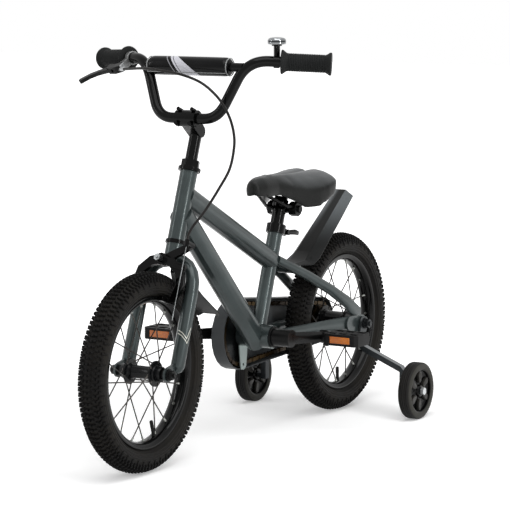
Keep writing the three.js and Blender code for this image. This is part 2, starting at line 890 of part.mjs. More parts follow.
// A point of the chain's closed path, counted in links from the top of the sprocket.
function chainPoint(count) {
  const slope = Math.atan2(axleHeightDrop, bottomBracketX - rearAxleX);
  const lean = Math.asin((chainringPitchRadius - sprocketPitchRadius) / chainCentres);
  const run = (chainCentres * Math.cos(lean)) / chainPitch;
  const frontWrap = ((Math.PI + 2 * lean) * chainringTeeth) / (2 * Math.PI);
  const links = ((count % chainLinks) + chainLinks) % chainLinks;
  const top = Math.PI / 2 + lean;
  const onRearCircle = (angle) => [
    sprocketPitchRadius * Math.cos(angle),
    sprocketPitchRadius * Math.sin(angle),
  ];
  const onFrontCircle = (angle) => [
    chainCentres + chainringPitchRadius * Math.cos(angle),
    chainringPitchRadius * Math.sin(angle),
  ];
  let place;
  if (links < run) {
    const [a, b] = [onRearCircle(top), onFrontCircle(top)];
    place = [mix(a[0], b[0], links / run), mix(a[1], b[1], links / run)];
  } else if (links < run + frontWrap) {
    place = onFrontCircle(top - ((links - run) * 2 * Math.PI) / chainringTeeth);
  } else if (links < 2 * run + frontWrap) {
    const share = (links - run - frontWrap) / run;
    const [a, b] = [onFrontCircle(-top), onRearCircle(-top)];
    place = [mix(a[0], b[0], share), mix(a[1], b[1], share)];
  } else {
    place = onRearCircle(-top - ((links - 2 * run - frontWrap) * 2 * Math.PI) / sprocketTeeth);
  }
  return vec(
    rearAxleX + place[0] * Math.cos(slope) - place[1] * Math.sin(slope),
    -chainLine,
    tyreRadius + place[0] * Math.sin(slope) + place[1] * Math.cos(slope),
  );
}

// One side of the chain: the band of link plates, with a bend at the middle of each link.
function chainSide(side) {
  const rings = [];
  for (let k = 0; k < chainLinks; k += 1) {
    const turn = linkHeading(k + 1).angleTo(linkHeading(k)) + linkHeading(k).angleTo(linkHeading(k - 1));
    if (turn < straightLinkTurn) continue;
    const waist = chainPoint(k).lerp(chainPoint(k + 1), 0.5);
    rings.push(linkRing(waist, linkHeading(k), side * linkOffset));
  }
  return loft(rings, true);
}

function linkHeading(k) {
  return chainPoint(k + 1).sub(chainPoint(k));
}

function linkRing(at, along, offset) {
  const up = vec(-along.z, 0, along.x).normalize().multiplyScalar(linkTall / 2);
  return [[-1, -1], [1, -1], [1, 1], [-1, 1]].map(([across, rise]) => at.clone()
    .addScaledVector(up, rise)
    .add(vec(0, offset + (across * linkThick) / 2, 0)));
}

function chain() {
  const rollers = [];
  for (let k = 0; k < chainLinks; k += 1) {
    const centre = chainPoint(k);
    const reach = vec(0, linkOffset, 0);
    rollers.push(rod(centre.clone().sub(reach), centre.clone().add(reach), rollerRadius, rollerSides));
  }
  return join(chainSide(-1), chainSide(1), ...rollers);
}

// A sprocket's outline: a flat-sided seat for each roller and a flat-topped tooth between two.
function sprocketOutline(centre, teeth, pitchRadius, firstAngle) {
  const seatTurn = toothSeatTurn * degree;
  const seatRadius = (rollerRadius + gap) / Math.cos(seatTurn);
  const seatTurns = [seatTurn, -seatTurn];
  const tipRadius = pitchRadius + toothRise;
  const points = [];
  for (let i = 0; i < teeth; i += 1) {
    const angle = firstAngle + (2 * Math.PI * i) / teeth;
    const rollerX = centre.x + pitchRadius * Math.cos(angle);
    const rollerZ = centre.z + pitchRadius * Math.sin(angle);
    seatTurns.forEach((turn) => points.push(new THREE.Vector2(
      rollerX - seatRadius * Math.cos(angle + turn),
      rollerZ - seatRadius * Math.sin(angle + turn),
    )));
    const toothAngle = angle + Math.PI / teeth;
    [-1, 1].forEach((side) => points.push(new THREE.Vector2(
      centre.x + tipRadius * Math.cos(toothAngle) - side * toothTipHalf * Math.sin(toothAngle),
      centre.z + tipRadius * Math.sin(toothAngle) + side * toothTipHalf * Math.cos(toothAngle),
    )));
  }
  return new THREE.Shape(points);
}

function rollerAngle(centre, count) {
  const roller = chainPoint(count);
  return Math.atan2(roller.z - centre.z, roller.x - centre.x);
}

function chainring() {
  const centre = vec(bottomBracketX, 0, bottomBracketHeight);
  const midRun = Math.round((chainLinks - sprocketTeeth / 2 + chainringTeeth / 2) / 2 - chainringTeeth / 4);
  const outline = sprocketOutline(centre, chainringTeeth, chainringPitchRadius, rollerAngle(centre, midRun));
  outline.holes.push(roundHole(centre.x, centre.z, chainringPilotRadius));
  return slabXZ(outline, -chainLine - toothThick / 2, -chainLine + toothThick / 2);
}

function rearSprocket() {
  const centre = vec(rearAxleX, 0, tyreRadius);
  const lastRoller = rollerAngle(centre, chainLinks - 1);
  const outline = sprocketOutline(centre, sprocketTeeth, sprocketPitchRadius, lastRoller);
  outline.holes.push(roundHole(centre.x, centre.z, rearHubDriverRadius));
  return slabXZ(outline, -chainLine - toothThick / 2, -chainLine + toothThick / 2);
}

// Wheels

function tyre(axleX) {
  const step = (2 * Math.PI) / tyreFacets;
  const spread = 1 / Math.cos(step / 2);
  const crown = tyreRadius * spread;
  const seatHalf = rimWidth / 2 - rimFlangeWall - gap;
  const bulge = mix(rimFlangeRadius, tyreRadius, sidewallBulgeShare);
  const rings = [];
  for (let i = 0; i < tyreFacets; i += 1) {
    const angle = -Math.PI / 2 + (i + 0.5) * step;
    const groove = i % 2 === 0 ? 0 : treadDepth;
    const half = [
      [(beadRadius + gap) * spread, seatHalf],
      [(rimFlangeRadius + gap) * spread, seatHalf],
      [bulge, tyreWidth / 2],
      [crown - treadShoulderDrop - groove, treadShoulderWidth / 2],
      [crown, treadCrownWidth / 2],
    ];
    const profile = [...half, ...half.map(([r, y]) => [r, -y]).reverse()];
    const at = ([r, y]) => vec(axleX + r * Math.cos(angle), y, tyreRadius + r * Math.sin(angle));
    rings.push(profile.map(at));
  }
  return loft(rings, true);
}

function rim(axleX, valveLean) {
  const seatHalf = rimWidth / 2 - rimFlangeWall;
  const half = [
    [rimInnerRadius, rimFloorWidth / 2],
    [rimWallStart, rimWidth / 2],
    [rimFlangeRadius, rimWidth / 2],
    [rimFlangeRadius, seatHalf],
    [beadRadius - gap, seatHalf],
  ];
  const profile = [...half, ...half.map(([r, y]) => [r, -y]).reverse()];
  const ring = turned(profile, rimSides, Math.PI / rimSides);
  ring.translate(axleX, 0, tyreRadius);
  const lean = valveLean * degree;
  const down = vec(-Math.sin(lean), 0, -Math.cos(lean));
  const root = vec(axleX, 0, tyreRadius).addScaledVector(down, rimInnerRadius + cutOverrun);
  const tip = root.clone().addScaledVector(down, -valveLength - cutOverrun);
  return join(ring, rod(root, tip, valveRadius, nutSides, valveTipRadius));
}

function spokes(flangeRadius, flangeSpread) {
  const rods = [];
  const foot = flangeRadius - spokeHoleInset;
  const tip = rimInnerRadius * Math.cos(Math.PI / rimSides) - gap - spokeRadius / 2;
  for (let i = 0; i < spokeCount; i += 1) {
    const side = i % 2 === 0 ? 1 : -1;
    const sweep = (Math.floor(i / 2) % 2 === 0 ? 1 : -1) * spokeSweep * degree;
    const angle = (2 * Math.PI * i) / spokeCount;
    const root = (side * flangeSpread) / 2 + Math.sign(sweep) * spokeLaceOffset;
    const from = vec(foot * Math.cos(angle - sweep), root, foot * Math.sin(angle - sweep));
    const to = vec(tip * Math.cos(angle), 0, tip * Math.sin(angle));
    rods.push(rod(from, to, spokeRadius, spokeSides));
  }
  return rods;
}

function frontHub() {
  const flangeOut = frontHubFlangeSpread / 2 + frontHubFlangeThick / 2;
  const flangeIn = flangeOut - frontHubFlangeThick;
  const half = [
    [snug(axleRadius, hubSides), frontHubLength / 2],
    [frontHubEndRadius - frontHubEndEdge, frontHubLength / 2],
    [frontHubEndRadius, flangeOut],
    [frontHubFlangeRadius, flangeOut],
    [frontHubFlangeRadius, flangeIn],
    [frontHubBarrelRadius, flangeIn - frontHubFlangeThick],
  ];
  const shell = turned([...half, ...half.map(([r, y]) => [r, -y]).reverse()], hubSides);
  const wheel = [shell, ...spokes(frontHubFlangeRadius, frontHubFlangeSpread)];
  wheel.forEach((shape) => shape.translate(frontAxleX, 0, tyreRadius));
  return join(...wheel);
}

function rearHub() {
  const flangeOut = rearHubFlangeSpread / 2 + rearHubFlangeThick / 2;
  const flangeIn = flangeOut - rearHubFlangeThick;
  const inside = snug(rearAxleRadius, hubSides);
  const shell = turned([
    [inside, -rearHubDriverReach],
    [rearHubDriverRadius, -rearHubDriverReach],
    [rearHubDriverRadius, -flangeOut],
    [rearHubFlangeRadius, -flangeOut],
    [rearHubFlangeRadius, -flangeIn],
    [rearHubBarrelRadius, -flangeIn + rearHubFlangeThick],
    [rearHubBarrelRadius, flangeIn - rearHubFlangeThick],
    [rearHubFlangeRadius, flangeIn],
    [rearHubFlangeRadius, flangeOut],
    [rearHubBrakeRadius, flangeOut],
    [rearHubBrakeEndRadius, rearHubBrakeReach],
    [inside, rearHubBrakeReach],
  ], hubSides);
  const wheel = [shell, ...spokes(rearHubFlangeRadius, rearHubFlangeSpread)];
  wheel.forEach((shape) => shape.translate(rearAxleX, 0, tyreRadius));
  return join(...wheel);
}

function frontAxle() {
  const legHalf = forkLegSpread / 2;
  const outer = legHalf + dropoutThick / 2 + gap;
  const inner = legHalf - dropoutThick / 2 - gap;
  const nutEnd = outer + axleWasherThick + axleNutLength;
  const end = nutEnd + axleEndLength;
  const across = (from, to, radius, sides) => crossRod(forkRake, 0, from, to, radius, sides);
  const parts = [across(-end, end, axleRadius, smallSides)];
  [-1, 1].forEach((side) => {
    parts.push(across(side * (frontHubLength / 2 + gap), side * inner, axleConeRadius, nutSides));
    parts.push(across(side * outer, side * (outer + axleWasherThick), axleWasherRadius, smallSides));
    parts.push(across(side * outer, side * nutEnd, axleNutRadius, nutSides));
  });
  return join(...parts);
}

function rearAxle() {
  const plateOut = guardOuter + gap + stabiliserPlateThick + gap;
  const nutEnd = plateOut + axleWasherThick + axleNutLength;
  const end = nutEnd + axleEndLength;
  const inner = rearDropoutInner - gap;
  const armOut = rearHubBrakeReach + gap + coasterArmThick + gap;
  const spacerLow = rearDropoutInner + rearDropoutThick + gap;
  const across = (from, to, radius, sides) => crossRod(rearAxleX, tyreRadius, from, to, radius, sides);
  const parts = [
    across(-end, end, rearAxleRadius, smallSides),
    across(-rearHubDriverReach - gap, -inner, axleConeRadius, nutSides),
    across(armOut, inner, axleConeRadius, nutSides),
    across(spacerLow, guardOuter, axleConeRadius, nutSides),
  ];
  [-1, 1].forEach((side) => {
    parts.push(across(side * plateOut, side * (plateOut + axleWasherThick), axleWasherRadius, smallSides));
    parts.push(across(side * plateOut, side * nutEnd, rearAxleNutRadius, nutSides));
  });
  return join(...parts);
}

function coasterArm() {
  const low = rearHubBrakeReach + gap;
  const stayHeight = chainstayCentre(coasterArmLength).z;
  const tipX = rearAxleX + coasterArmLength;
  const tipZ = stayHeight - chainstayTipTall - coasterArmHalfWidth - coasterArmDrop;
  const outline = strap(rearAxleX, tyreRadius, coasterArmBossRadius, tipX, tipZ, coasterArmHalfWidth);
  outline.holes.push(roundHole(rearAxleX, tyreRadius, rearAxleRadius));
  outline.holes.push(roundHole(tipX, tipZ, coasterArmHoleRadius));
  return slabXZ(outline, low, low + coasterArmThick);
}

// Frame

function headTubeBlank(extra) {
  const [low, high] = [onSteering(0, 0, headTubeLow), onSteering(0, 0, headTubeHigh)];
  return rod(low, high, headTubeRadius + extra, tubeSides);
}

function headTube() {
  const inside = bore(onSteering(0, 0, headTubeLow), onSteering(0, 0, headTubeHigh), headTubeBore, tubeSides);
  return cut(headTubeBlank(0), inside);
}

function topTubeBlank(extra) {
  const from = onSteering(0, 0, topTubeHeadAlong);
  const to = onSeatTube(topTubeSeatRise);
  to.addScaledVector(to.clone().sub(from).normalize(), extra);
  return rod(from, to, topTubeRadius + extra, tubeSides);
}

function downTubeBlank(extra) {
  const from = onSteering(0, 0, downTubeHeadAlong);
  const to = vec(bottomBracketX, 0, bottomBracketHeight - downTubeDrop);
  to.addScaledVector(to.clone().sub(from).normalize(), extra);
  return rod(from, to, downTubeRadius + extra, tubeSides);
}

function seatTubeBlank(extra) {
  return rod(onSeatTube(0), onSeatTube(seatTubeLength), seatTubeRadius + extra, tubeSides);
}

function bracketShellBlank(extra) {
  const half = bracketShellWidth / 2 + extra;
  const from = vec(bottomBracketX, -half, bottomBracketHeight);
  const to = vec(bottomBracketX, half, bottomBracketHeight);
  return rod(from, to, bracketShellRadius + extra, tubeSides);
}

function bracketShell() {
  const half = bracketShellWidth / 2;
  const from = vec(bottomBracketX, -half, bottomBracketHeight);
  const to = vec(bottomBracketX, half, bottomBracketHeight);
  const tabHigh = -guardInner + gap + guardTabThick;
  const tabFoot = bottomBracketHeight - guardFrontRadius + guardTabFootRadius;
  const tab = strap(
    bottomBracketX, bottomBracketHeight, guardTabTopRadius,
    bottomBracketX, tabFoot, guardTabFootRadius,
  );
  tab.holes.push(roundHole(bottomBracketX, tabFoot, dropoutHoleRadius));
  const tabSlab = slabXZ(tab, tabHigh - guardTabThick, tabHigh);
  return cut(join(bracketShellBlank(0), tabSlab), bore(from, to, cartridgeRadius, tubeSides));
}

// The chainstay's centre at a distance ahead of the rear axle, on the left side.
function chainstayCentre(ahead) {
  const share = ahead / (bottomBracketX - rearAxleX);
  const tipSide = rearDropoutInner + rearDropoutThick - chainstayHalfThick - gap;
  const span = chainstayPathShares.findIndex(([along]) => share <= along);
  const [from, to] = chainstayPathShares.slice(Math.max(span, 1) - 1, Math.max(span, 1) + 1);
  const inward = mix(from[1], to[1], (share - from[0]) / (to[0] - from[0]));
  const rise = mix(tyreRadius + chainstayTipRise, bottomBracketHeight, share);
  return vec(rearAxleX + ahead, mix(tipSide, chainstayRootSpread / 2, inward), rise);
}

function chainstay(side) {
  const reach = bottomBracketX - rearAxleX;
  const places = [chainstayTipGap, ...chainstaySectionShares.map((share) => reach * share)];
  const stations = places.map((ahead) => {
    const at = chainstayCentre(ahead);
    at.y *= side;
    return { at, across: chainstayHalfThick, tall: mix(chainstayTipTall, chainstayRootTall, ahead / reach) };
  });
  return cut(join(ovalTube(stations, chainstaySides), rearDropout(side)), bracketShellBlank(gap));
}

function rearDropout(side) {
  const low = side > 0 ? rearDropoutInner : -rearDropoutInner - rearDropoutThick;
  const plate = rearDropoutShape(0);
  plate.holes.push(roundHole(rearAxleX, tyreRadius, rearAxleRadius));
  return slabXZ(plate, low, low + rearDropoutThick);
}

function rearDropoutShape(extra) {
  const stayZ = chainstayCentre(chainstayTipGap).z;
  const [axleEnd, stayEnd] = [rearDropoutRadius + extra, chainstayTipTall + extra];
  return strap(rearAxleX, tyreRadius, axleEnd, rearAxleX + rearDropoutReach, stayZ, stayEnd);
}

function seatstayStations(side, extra) {
  const root = onSeatTube(seatstayRootRise);
  const foot = vec(rearAxleX + seatstayFootAhead, 0, tyreRadius + seatstayFootRise);
  const footSide = rearDropoutInner + rearDropoutThick - seatstayTipAcross - gap;
  return seatstayStationShares.map(([share, bow, out, slim, deep]) => ({
    at: vec(
      mix(root.x, foot.x, share),
      side * mix(seatstayRootSpread / 2, footSide, out),
      mix(root.z, foot.z, share) + seatstayBow * bow,
    ),
    across: mix(seatstayRadius, seatstayTipAcross, slim) + extra,
    tall: mix(seatstayRadius, seatstayTipTall, deep) + extra,
  }));
}

function seatstay(side) {
  const parts = [ovalTube(seatstayStations(side, 0), seatstaySides)];
  if (side > 0) {
    const [left, right] = [seatstayPoint(1, bridgeStation), seatstayPoint(-1, bridgeStation)];
    const bridge = rod(left, right, bridgeRadius, holeSides);
    parts.push(cut(bridge, ovalTube(seatstayStations(-1, gap), seatstaySides)));
  }
  return cut(join(...parts), seatTubeBlank(gap), topTubeBlank(gap), rearDropoutKeepOut(side));
}

// A point of a seatstay's centre line at a distance behind the seat tube.
function seatstayPoint(side, behind) {
  const stations = seatstayStations(side, 0);
  const root = stations[0].at;
  for (let i = 1; i < stations.length; i += 1) {
    const [a, b] = [stations[i - 1].at, stations[i].at];
    if (root.x - b.x >= behind) {
      return a.clone().lerp(b, (behind - (root.x - a.x)) / (a.x - b.x));
    }
  }
  return stations[stations.length - 1].at.clone();
}

// The room that the chainstay's tip and the dropout plate need in the seatstay's foot.
function rearDropoutKeepOut(side) {
  const low = side > 0 ? rearDropoutInner : -rearDropoutInner - rearDropoutThick;
  const over = cutOverrun * 2;
  return slabXZ(rearDropoutShape(gap), low - over, low + rearDropoutThick + over);
}

function bottomBracketCartridge() {
  const edge = bracketShellWidth / 2 + gap;
  const half = [
    [snug(spindleRadius, shaftSides), edge + cartridgeFlangeThick],
    [cartridgeFlangeRadius, edge + cartridgeFlangeThick],
    [cartridgeFlangeRadius, edge],
    [cartridgeRadius, edge],
  ];
  const shape = turned([...half, ...half.map(([r, y]) => [r, -y]).reverse()], shaftSides);
  return shape.translate(bottomBracketX, 0, bottomBracketHeight);
}

// Chain guard: an outer plate with a rim wall, open towards the wheel.
function chainGuard() {
  const outline = (inset) => strap(
    bottomBracketX, bottomBracketHeight, guardFrontRadius - inset,
    rearAxleX, tyreRadius, guardRearRadius - inset,
  );
  const shell = slabXZ(outline(0), -guardOuter, -guardInner, guardArcSteps);
  const hollow = slabXZ(outline(guardWall), -guardOuter + guardWall, -guardInner + cutOverrun, guardArcSteps);
  const low = -guardOuter - cutOverrun;
  const holeAt = (x, z, radius) => crossRod(x, z, low, -guardInner, radius, tubeSides);
  const crank = holeAt(bottomBracketX, bottomBracketHeight, crankBossRadius + guardCrankClearance);
  const axle = holeAt(rearAxleX, tyreRadius, snug(rearAxleRadius, tubeSides));
  return cut(shell, hollow, crank, axle, ovalTube(seatstayStations(-1, guardStayClearance), seatstaySides));
}

// Cranks and pedals

function crank(side) {
  const heading = side > 0 ? -1 : 1;
  const at = (reach, y) => vec(
    bottomBracketX + heading * reach * Math.cos(crankTilt * degree), side * y,
    bottomBracketHeight + heading * reach * Math.sin(crankTilt * degree),
  );
  const root = crankBossOuter - crankArmInset;
  const arm = ovalTube(crankArmStationShares.map((share) => ({
    at: at(crankLength * share, mix(root, crankEyeCentre, share)),
    across: crankArmHalfThick,
    tall: mix(crankArmRootTall, crankArmTipTall, share),
  })), crankArmSides);
  const [eyeIn, eyeOut] = [crankEyeCentre - crankEyeThick / 2, crankEyeCentre + crankEyeThick / 2];
  const axleEnd = pedalInner + pedalWidth - pedalWall;
  return join(
    rod(at(0, crankBossInner), at(0, crankBossOuter), crankBossRadius, tubeSides),
    arm,
    rod(at(crankLength, eyeIn), at(crankLength, eyeOut), crankEyeRadius, holeSides),
    rod(at(crankLength, crankEyeCentre), at(crankLength, axleEnd), pedalAxleRadius, smallSides),
    rod(at(crankLength, crankEyeCentre), at(crankLength, pedalInner - gap), pedalCollarRadius, nutSides),
  );
}

function crankLeft() {
  const [x, z] = [bottomBracketX, bottomBracketHeight];
  const socketEnd = crankBossOuter - crankArmInset;
  const socket = bore(vec(x, crankBossInner, z), vec(x, socketEnd - cutOverrun, z), spindleRadius);
  return cut(crank(1), socket);
}

function crankRight() {
  const [x, z] = [bottomBracketX, bottomBracketHeight];
  const ringOuter = chainLine + toothThick / 2 + gap;
  const faced = box(
    vec(x - crankBossRadius - cutOverrun, -ringOuter, z - crankBossRadius - cutOverrun),
    vec(x + crankBossRadius + cutOverrun, 0, z + crankBossRadius + cutOverrun),
  );
  const spindleEnd = crankBossOuter - crankArmInset - gap;
  const sunk = -ringOuter - joinSink;
  const pilot = crossRod(x, z, sunk, -crankBossInner, chainringPilotRadius, holeSides);
  const spindle = crossRod(x, z, sunk, spindleEnd, spindleRadius, holeSides);
  return join(cut(crank(-1), faced), pilot, spindle);
}

function pedal(side) {
  const heading = side > 0 ? -1 : 1;
  const x = bottomBracketX + heading * crankLength * Math.cos(crankTilt * degree);
  const z = bottomBracketHeight + heading * crankLength * Math.sin(crankTilt * degree);
  const low = side > 0 ? pedalInner : -pedalInner - pedalWidth;
  const top = pedalHeight / 2;
  const body = slabXY(pedalOutline(x, low), z - top, z + top);
  const room = (pedalWidth - pedalWall * (pedalWindowRows + 1)) / pedalWindowRows;
  const reach = pedalLength / 2 - pedalWall;
  const windows = [];
  for (let row = 0; row < pedalWindowRows; row += 1) {
    const from = low + pedalWall + row * (room + pedalWall);
    [[-reach, -pedalBarrelRadius], [pedalBarrelRadius, reach]].forEach(([a, b]) => {
      const over = top + cutOverrun;
      windows.push(box(vec(x + a, from, z - over), vec(x + b, from + room, z + over)));
    });
  }
  const axleEnd = pedalInner + pedalWidth - pedalWall + gap - cutOverrun;
  const inside = bore(vec(x, side * pedalInner, z), vec(x, side * axleEnd, z), pedalAxleRadius);
  return cut(body, inside, ...windows);
}

// The pedal's plan: a rectangle with its corners cut off.
function pedalOutline(x, low) {
  const half = pedalLength / 2;
  const high = low + pedalWidth;
  const c = pedalCorner;
  return new THREE.Shape([
    [x - half + c, low], [x + half - c, low], [x + half, low + c], [x + half, high - c],
    [x + half - c, high], [x - half + c, high], [x - half, high - c], [x - half, low + c],
  ].map(([px, py]) => new THREE.Vector2(px, py)));
}

// Stabilisers

function stabiliserArm(side) {
  const x = rearAxleX + stabiliserAhead;
  const plateIn = guardOuter + gap;
  const half = stabiliserBarWidth / 2;
  const footZ = stabiliserElbowHeight + stabiliserPlateFootRise;
  const plate = strap(rearAxleX, tyreRadius, stabiliserPlateRadius, x, footZ, stabiliserPlateFootRadius);
  plate.holes.push(roundHole(rearAxleX, tyreRadius, rearAxleRadius));
  const plateLow = side > 0 ? plateIn : -plateIn - stabiliserPlateThick;
  const mid = stabiliserBarThick / 2;
  const kneeSide = stabiliserKneeSpread / 2;
  const wheelIn = (stabiliserTrack - stabiliserTyreWidth) / 2 - gap;
  const wheelOut = (stabiliserTrack + stabiliserTyreWidth) / 2 + gap;
  const axleAt = (y) => vec(x, side * y, stabiliserRadius);
  return join(
    slabYZ(stabiliserBand(side, plateIn + mid, footZ), x - half, x + half),
    slabXZ(plate, plateLow, plateLow + stabiliserPlateThick),
    rod(axleAt(kneeSide - mid), axleAt(wheelOut + joinSink), stabiliserAxleRadius, smallSides),
    rod(axleAt(kneeSide), axleAt(wheelIn), stabiliserNutRadius, nutSides),
    rod(axleAt(wheelOut), axleAt(wheelOut + stabiliserNutLength), stabiliserNutRadius, nutSides),
  );
}

// The arm's bar seen from behind: down from the axle, out to the knee, down to the wheel.
function stabiliserBand(side, top, footZ) {
  const mid = stabiliserBarThick / 2;
  const kneeSide = stabiliserKneeSpread / 2;
  const points = [
    [top, footZ],
    [top, stabiliserElbowHeight + mid],
    [top + mid, stabiliserElbowHeight],
    [kneeSide - mid, stabiliserKneeHeight],
    [kneeSide, stabiliserKneeHeight - mid],
    [kneeSide, stabiliserRadius - stabiliserBarWidth / 2],
  ].map(([y, z]) => [side * y, z]);
  return bandShape(points, points.map(() => mid));
}

function stabiliserWheel(side) {
  const halfWidth = stabiliserTyreWidth / 2;
  const step = (2 * Math.PI) / stabiliserSides;
  const outer = stabiliserRadius / Math.cos(step / 2);
  const web = stabiliserWebSet;
  const back = web - stabiliserWebThick;
  const inside = snug(stabiliserAxleRadius, stabiliserSides);
  const bevel = stabiliserBevel;
  const lip = stabiliserRimRadius;
  const hub = stabiliserHubRadius;
  const profile = [
    [inside, -halfWidth], [hub, -halfWidth], [hub, back], [lip, back], [lip, -halfWidth],
    [outer - bevel, -halfWidth], [outer, -halfWidth + bevel],
    [outer, halfWidth - bevel], [outer - bevel, halfWidth],
    [lip, halfWidth], [lip, web], [hub, web], [hub, halfWidth], [inside, halfWidth],
  ];
  const whole = [turned(profile, stabiliserSides, Math.PI + step / 2)];
  for (let i = 0; i < stabiliserPetals; i += 1) {
    whole.push(stabiliserPetal((2 * Math.PI * i) / stabiliserPetals));
  }
  whole.forEach((shape) => {
    if (side < 0) shape.scale(1, -1, 1);
    shape.translate(rearAxleX + stabiliserAhead, (side * stabiliserTrack) / 2, stabiliserRadius);
  });
  return join(...whole);
}

// A raised petal on the wheel's web, widest near the rim.
function stabiliserPetal(angle) {
  const [hub, lip] = [stabiliserHubRadius - joinSink, stabiliserRimRadius + joinSink];
  const wide = mix(hub, lip, stabiliserPetalWideShare);
  const corners = [[hub, 0], [wide, stabiliserPetalHalfWidth], [lip, 0], [wide, -stabiliserPetalHalfWidth]];
  const ring = (y) => corners.map(([out, across]) => vec(
    out * Math.sin(angle) + across * Math.cos(angle), y,
    out * Math.cos(angle) - across * Math.sin(angle),
  ));
  return loft([ring(stabiliserWebSet - joinSink), ring(stabiliserWebSet + stabiliserPetalTall)]);
}

// Seat post, clamp and saddle

function seatPost() {
  const post = rod(onSeatTube(seatPostFoot), onSeatTube(seatPostTop), seatPostRadius);
  const half = seatCollarHeight / 2;
  const [low, high] = [saddleClampRise - half, saddleClampRise + half];
  const collar = rod(onSeatTube(low), onSeatTube(high), seatCollarRadius);
  const left = saddleBolt(seatCollarRadius);
  const right = saddleBolt(-seatCollarRadius);
  const boltTube = rod(left, right, saddleBoltTubeRadius);
  return cut(join(post, collar, boltTube), bore(left, right, clampBoltRadius));
}

// A point of the saddle bolt's axis, which passes behind the post.
function saddleBolt(y) {
  return onSeatTube(saddleClampRise, y, -saddleBoltBehind);
}

function seatTube() {
  const foot = onSeatTube(seatTubeLength - seatTubeBoreDepth);
  const inside = bore(foot, onSeatTube(seatTubeLength), seatPostRadius, shaftSides);
  return cut(seatTubeBlank(0), inside, bracketShellBlank(gap), downTubeBlank(gap));
}

function seatClamp() {
  const foot = seatTubeLength - seatClampHeight + seatClampLip;
  const [from, to] = [onSeatTube(foot), onSeatTube(foot + seatClampHeight)];
  const earSide = seatClampEarHalfWidth + seatClampSlot / 2;
  const ears = seatClampBlock(seatClampEarReach, earSide, (seatClampHeight * seatClampEarShare) / 2);
  const slot = seatClampBlock(seatClampEarReach + cutOverrun, seatClampSlot / 2, seatClampHeight);
  const tubeTop = onSeatTube(seatTubeLength + gap - cutOverrun);
  const onTube = bore(from, tubeTop, seatTubeRadius, tubeSides);
  const onPost = bore(onSeatTube(seatTubeLength), to, seatPostRadius, shaftSides);
  const { x, z } = quickAxis();
  const boltHole = bore(vec(x, -quickBoltHalfLength, z), vec(x, quickBoltHalfLength, z), quickBoltRadius);
  return cut(join(rod(from, to, seatClampRadius, tubeSides), ears), slot, onTube, onPost, boltHole);
}

// A block that reaches back from the seat tube's axis at the clamp.
function seatClampBlock(reach, halfWidth, halfHeight) {
  const block = box(vec(-reach, -halfWidth, -halfHeight), vec(0, halfWidth, halfHeight));
  block.rotateY((seatAngle - 90) * degree);
  const middle = onSeatTube(seatTubeLength - seatClampHeight / 2 + seatClampLip);
  return block.translate(middle.x, 0, middle.z);
}

function quickAxis() {
  const behind = mix(seatClampRadius, seatClampEarReach, quickAxisShare);
  return onSeatTube(seatTubeLength - seatClampHeight / 2 + seatClampLip, 0, -behind);
}

function seatQuickRelease() {
  const { x, z } = quickAxis();
  const outer = seatClampEarHalfWidth + seatClampSlot / 2 + gap;
  const head = outer + quickLeverRadius;
  const lever = ovalTube(quickLeverStations.map(([share, out, down, across, tall]) => ({
    at: vec(x - quickLeverLength * share, head + out, z - down), across, tall,
  })), smallSides);
  return join(
    rod(vec(x, -quickBoltHalfLength, z), vec(x, head, z), quickBoltRadius, smallSides),
    rod(vec(x, -outer, z), vec(x, -quickBoltHalfLength, z), quickLeverRadius, smallSides),
    rod(vec(x, outer, z), vec(x, head + quickLeverRadius, z), quickLeverHeadRadius, smallSides),
    lever,
  );
}

function saddleClampShape() {
  const parts = [rod(saddleBolt(-clampJawOuter), saddleBolt(clampJawOuter), clampBoltRadius, smallSides)];
  const headEnd = clampJawOuter + clampBoltHeadLength;
  [-1, 1].forEach((side) => {
    const at = (reach) => saddleBolt(side * reach);
    parts.push(rod(at(clampJawInner), at(clampJawOuter), clampJawRadius, holeSides));
    parts.push(rod(at(clampJawOuter - joinSink), at(headEnd), clampBoltHeadRadius, nutSides));
  });
  return cut(join(...parts), saddleRails(gap));
}

// One bent loop: two level rails that rise and meet at the nose, and a bar across under the tail.
function saddleRails(extra) {
  const centre = saddleBolt(0);
  const low = centre.z + railRise;
  const noseX = saddleNoseX - saddleLength * railNoseShare;
  const tailX = saddleNoseX - saddleLength * railTailShare;
  const flat = saddleLength * railFlatShare;
  const drop = saddleThick + railRadius + gap * 2;
  const noseZ = mix(saddleNoseHeight, saddleTailHeight, railNoseRiseShare) - drop;
  const tailZ = saddleTailHeight - drop;
  const half = railSpread / 2;
  const nose = railNoseSpread / 2;
  const side = [
    vec(noseX + railCorner, nose - railCorner, noseZ), vec(noseX, nose, noseZ),
    vec(centre.x + flat, half, low), vec(centre.x - flat, half, low),
    vec(tailX + railCorner, half, tailZ - railCorner / 2), vec(tailX, half - railCorner, tailZ),
  ];
  const points = [...side, ...side.map((point) => vec(point.x, -point.y, point.z)).reverse()];
  const count = points.length;
  const radius = railRadius + extra;
  const rings = points.map((at, i) => {
    const before = points[(i + count - 1) % count];
    const after = points[(i + 1) % count];
    const inLine = at.clone().sub(before).normalize();
    const outLine = after.clone().sub(at).normalize();
    const along = inLine.clone().add(outLine).normalize();
    const across = along.clone().cross(vec(0, 0, 1)).normalize();
    const up = across.clone().cross(along);
    const mitre = 1 / Math.max(along.dot(outLine), mitreLimitShare);
    const ring = [];
    for (let s = 0; s < railSides; s += 1) {
      const angle = (2 * Math.PI * (s + 0.5)) / railSides;
      ring.push(at.clone()
        .addScaledVector(across, Math.cos(angle) * radius * mitre)
        .addScaledVector(up, Math.sin(angle) * radius));
    }
    return ring;
  });
  return loft(rings, true);
}

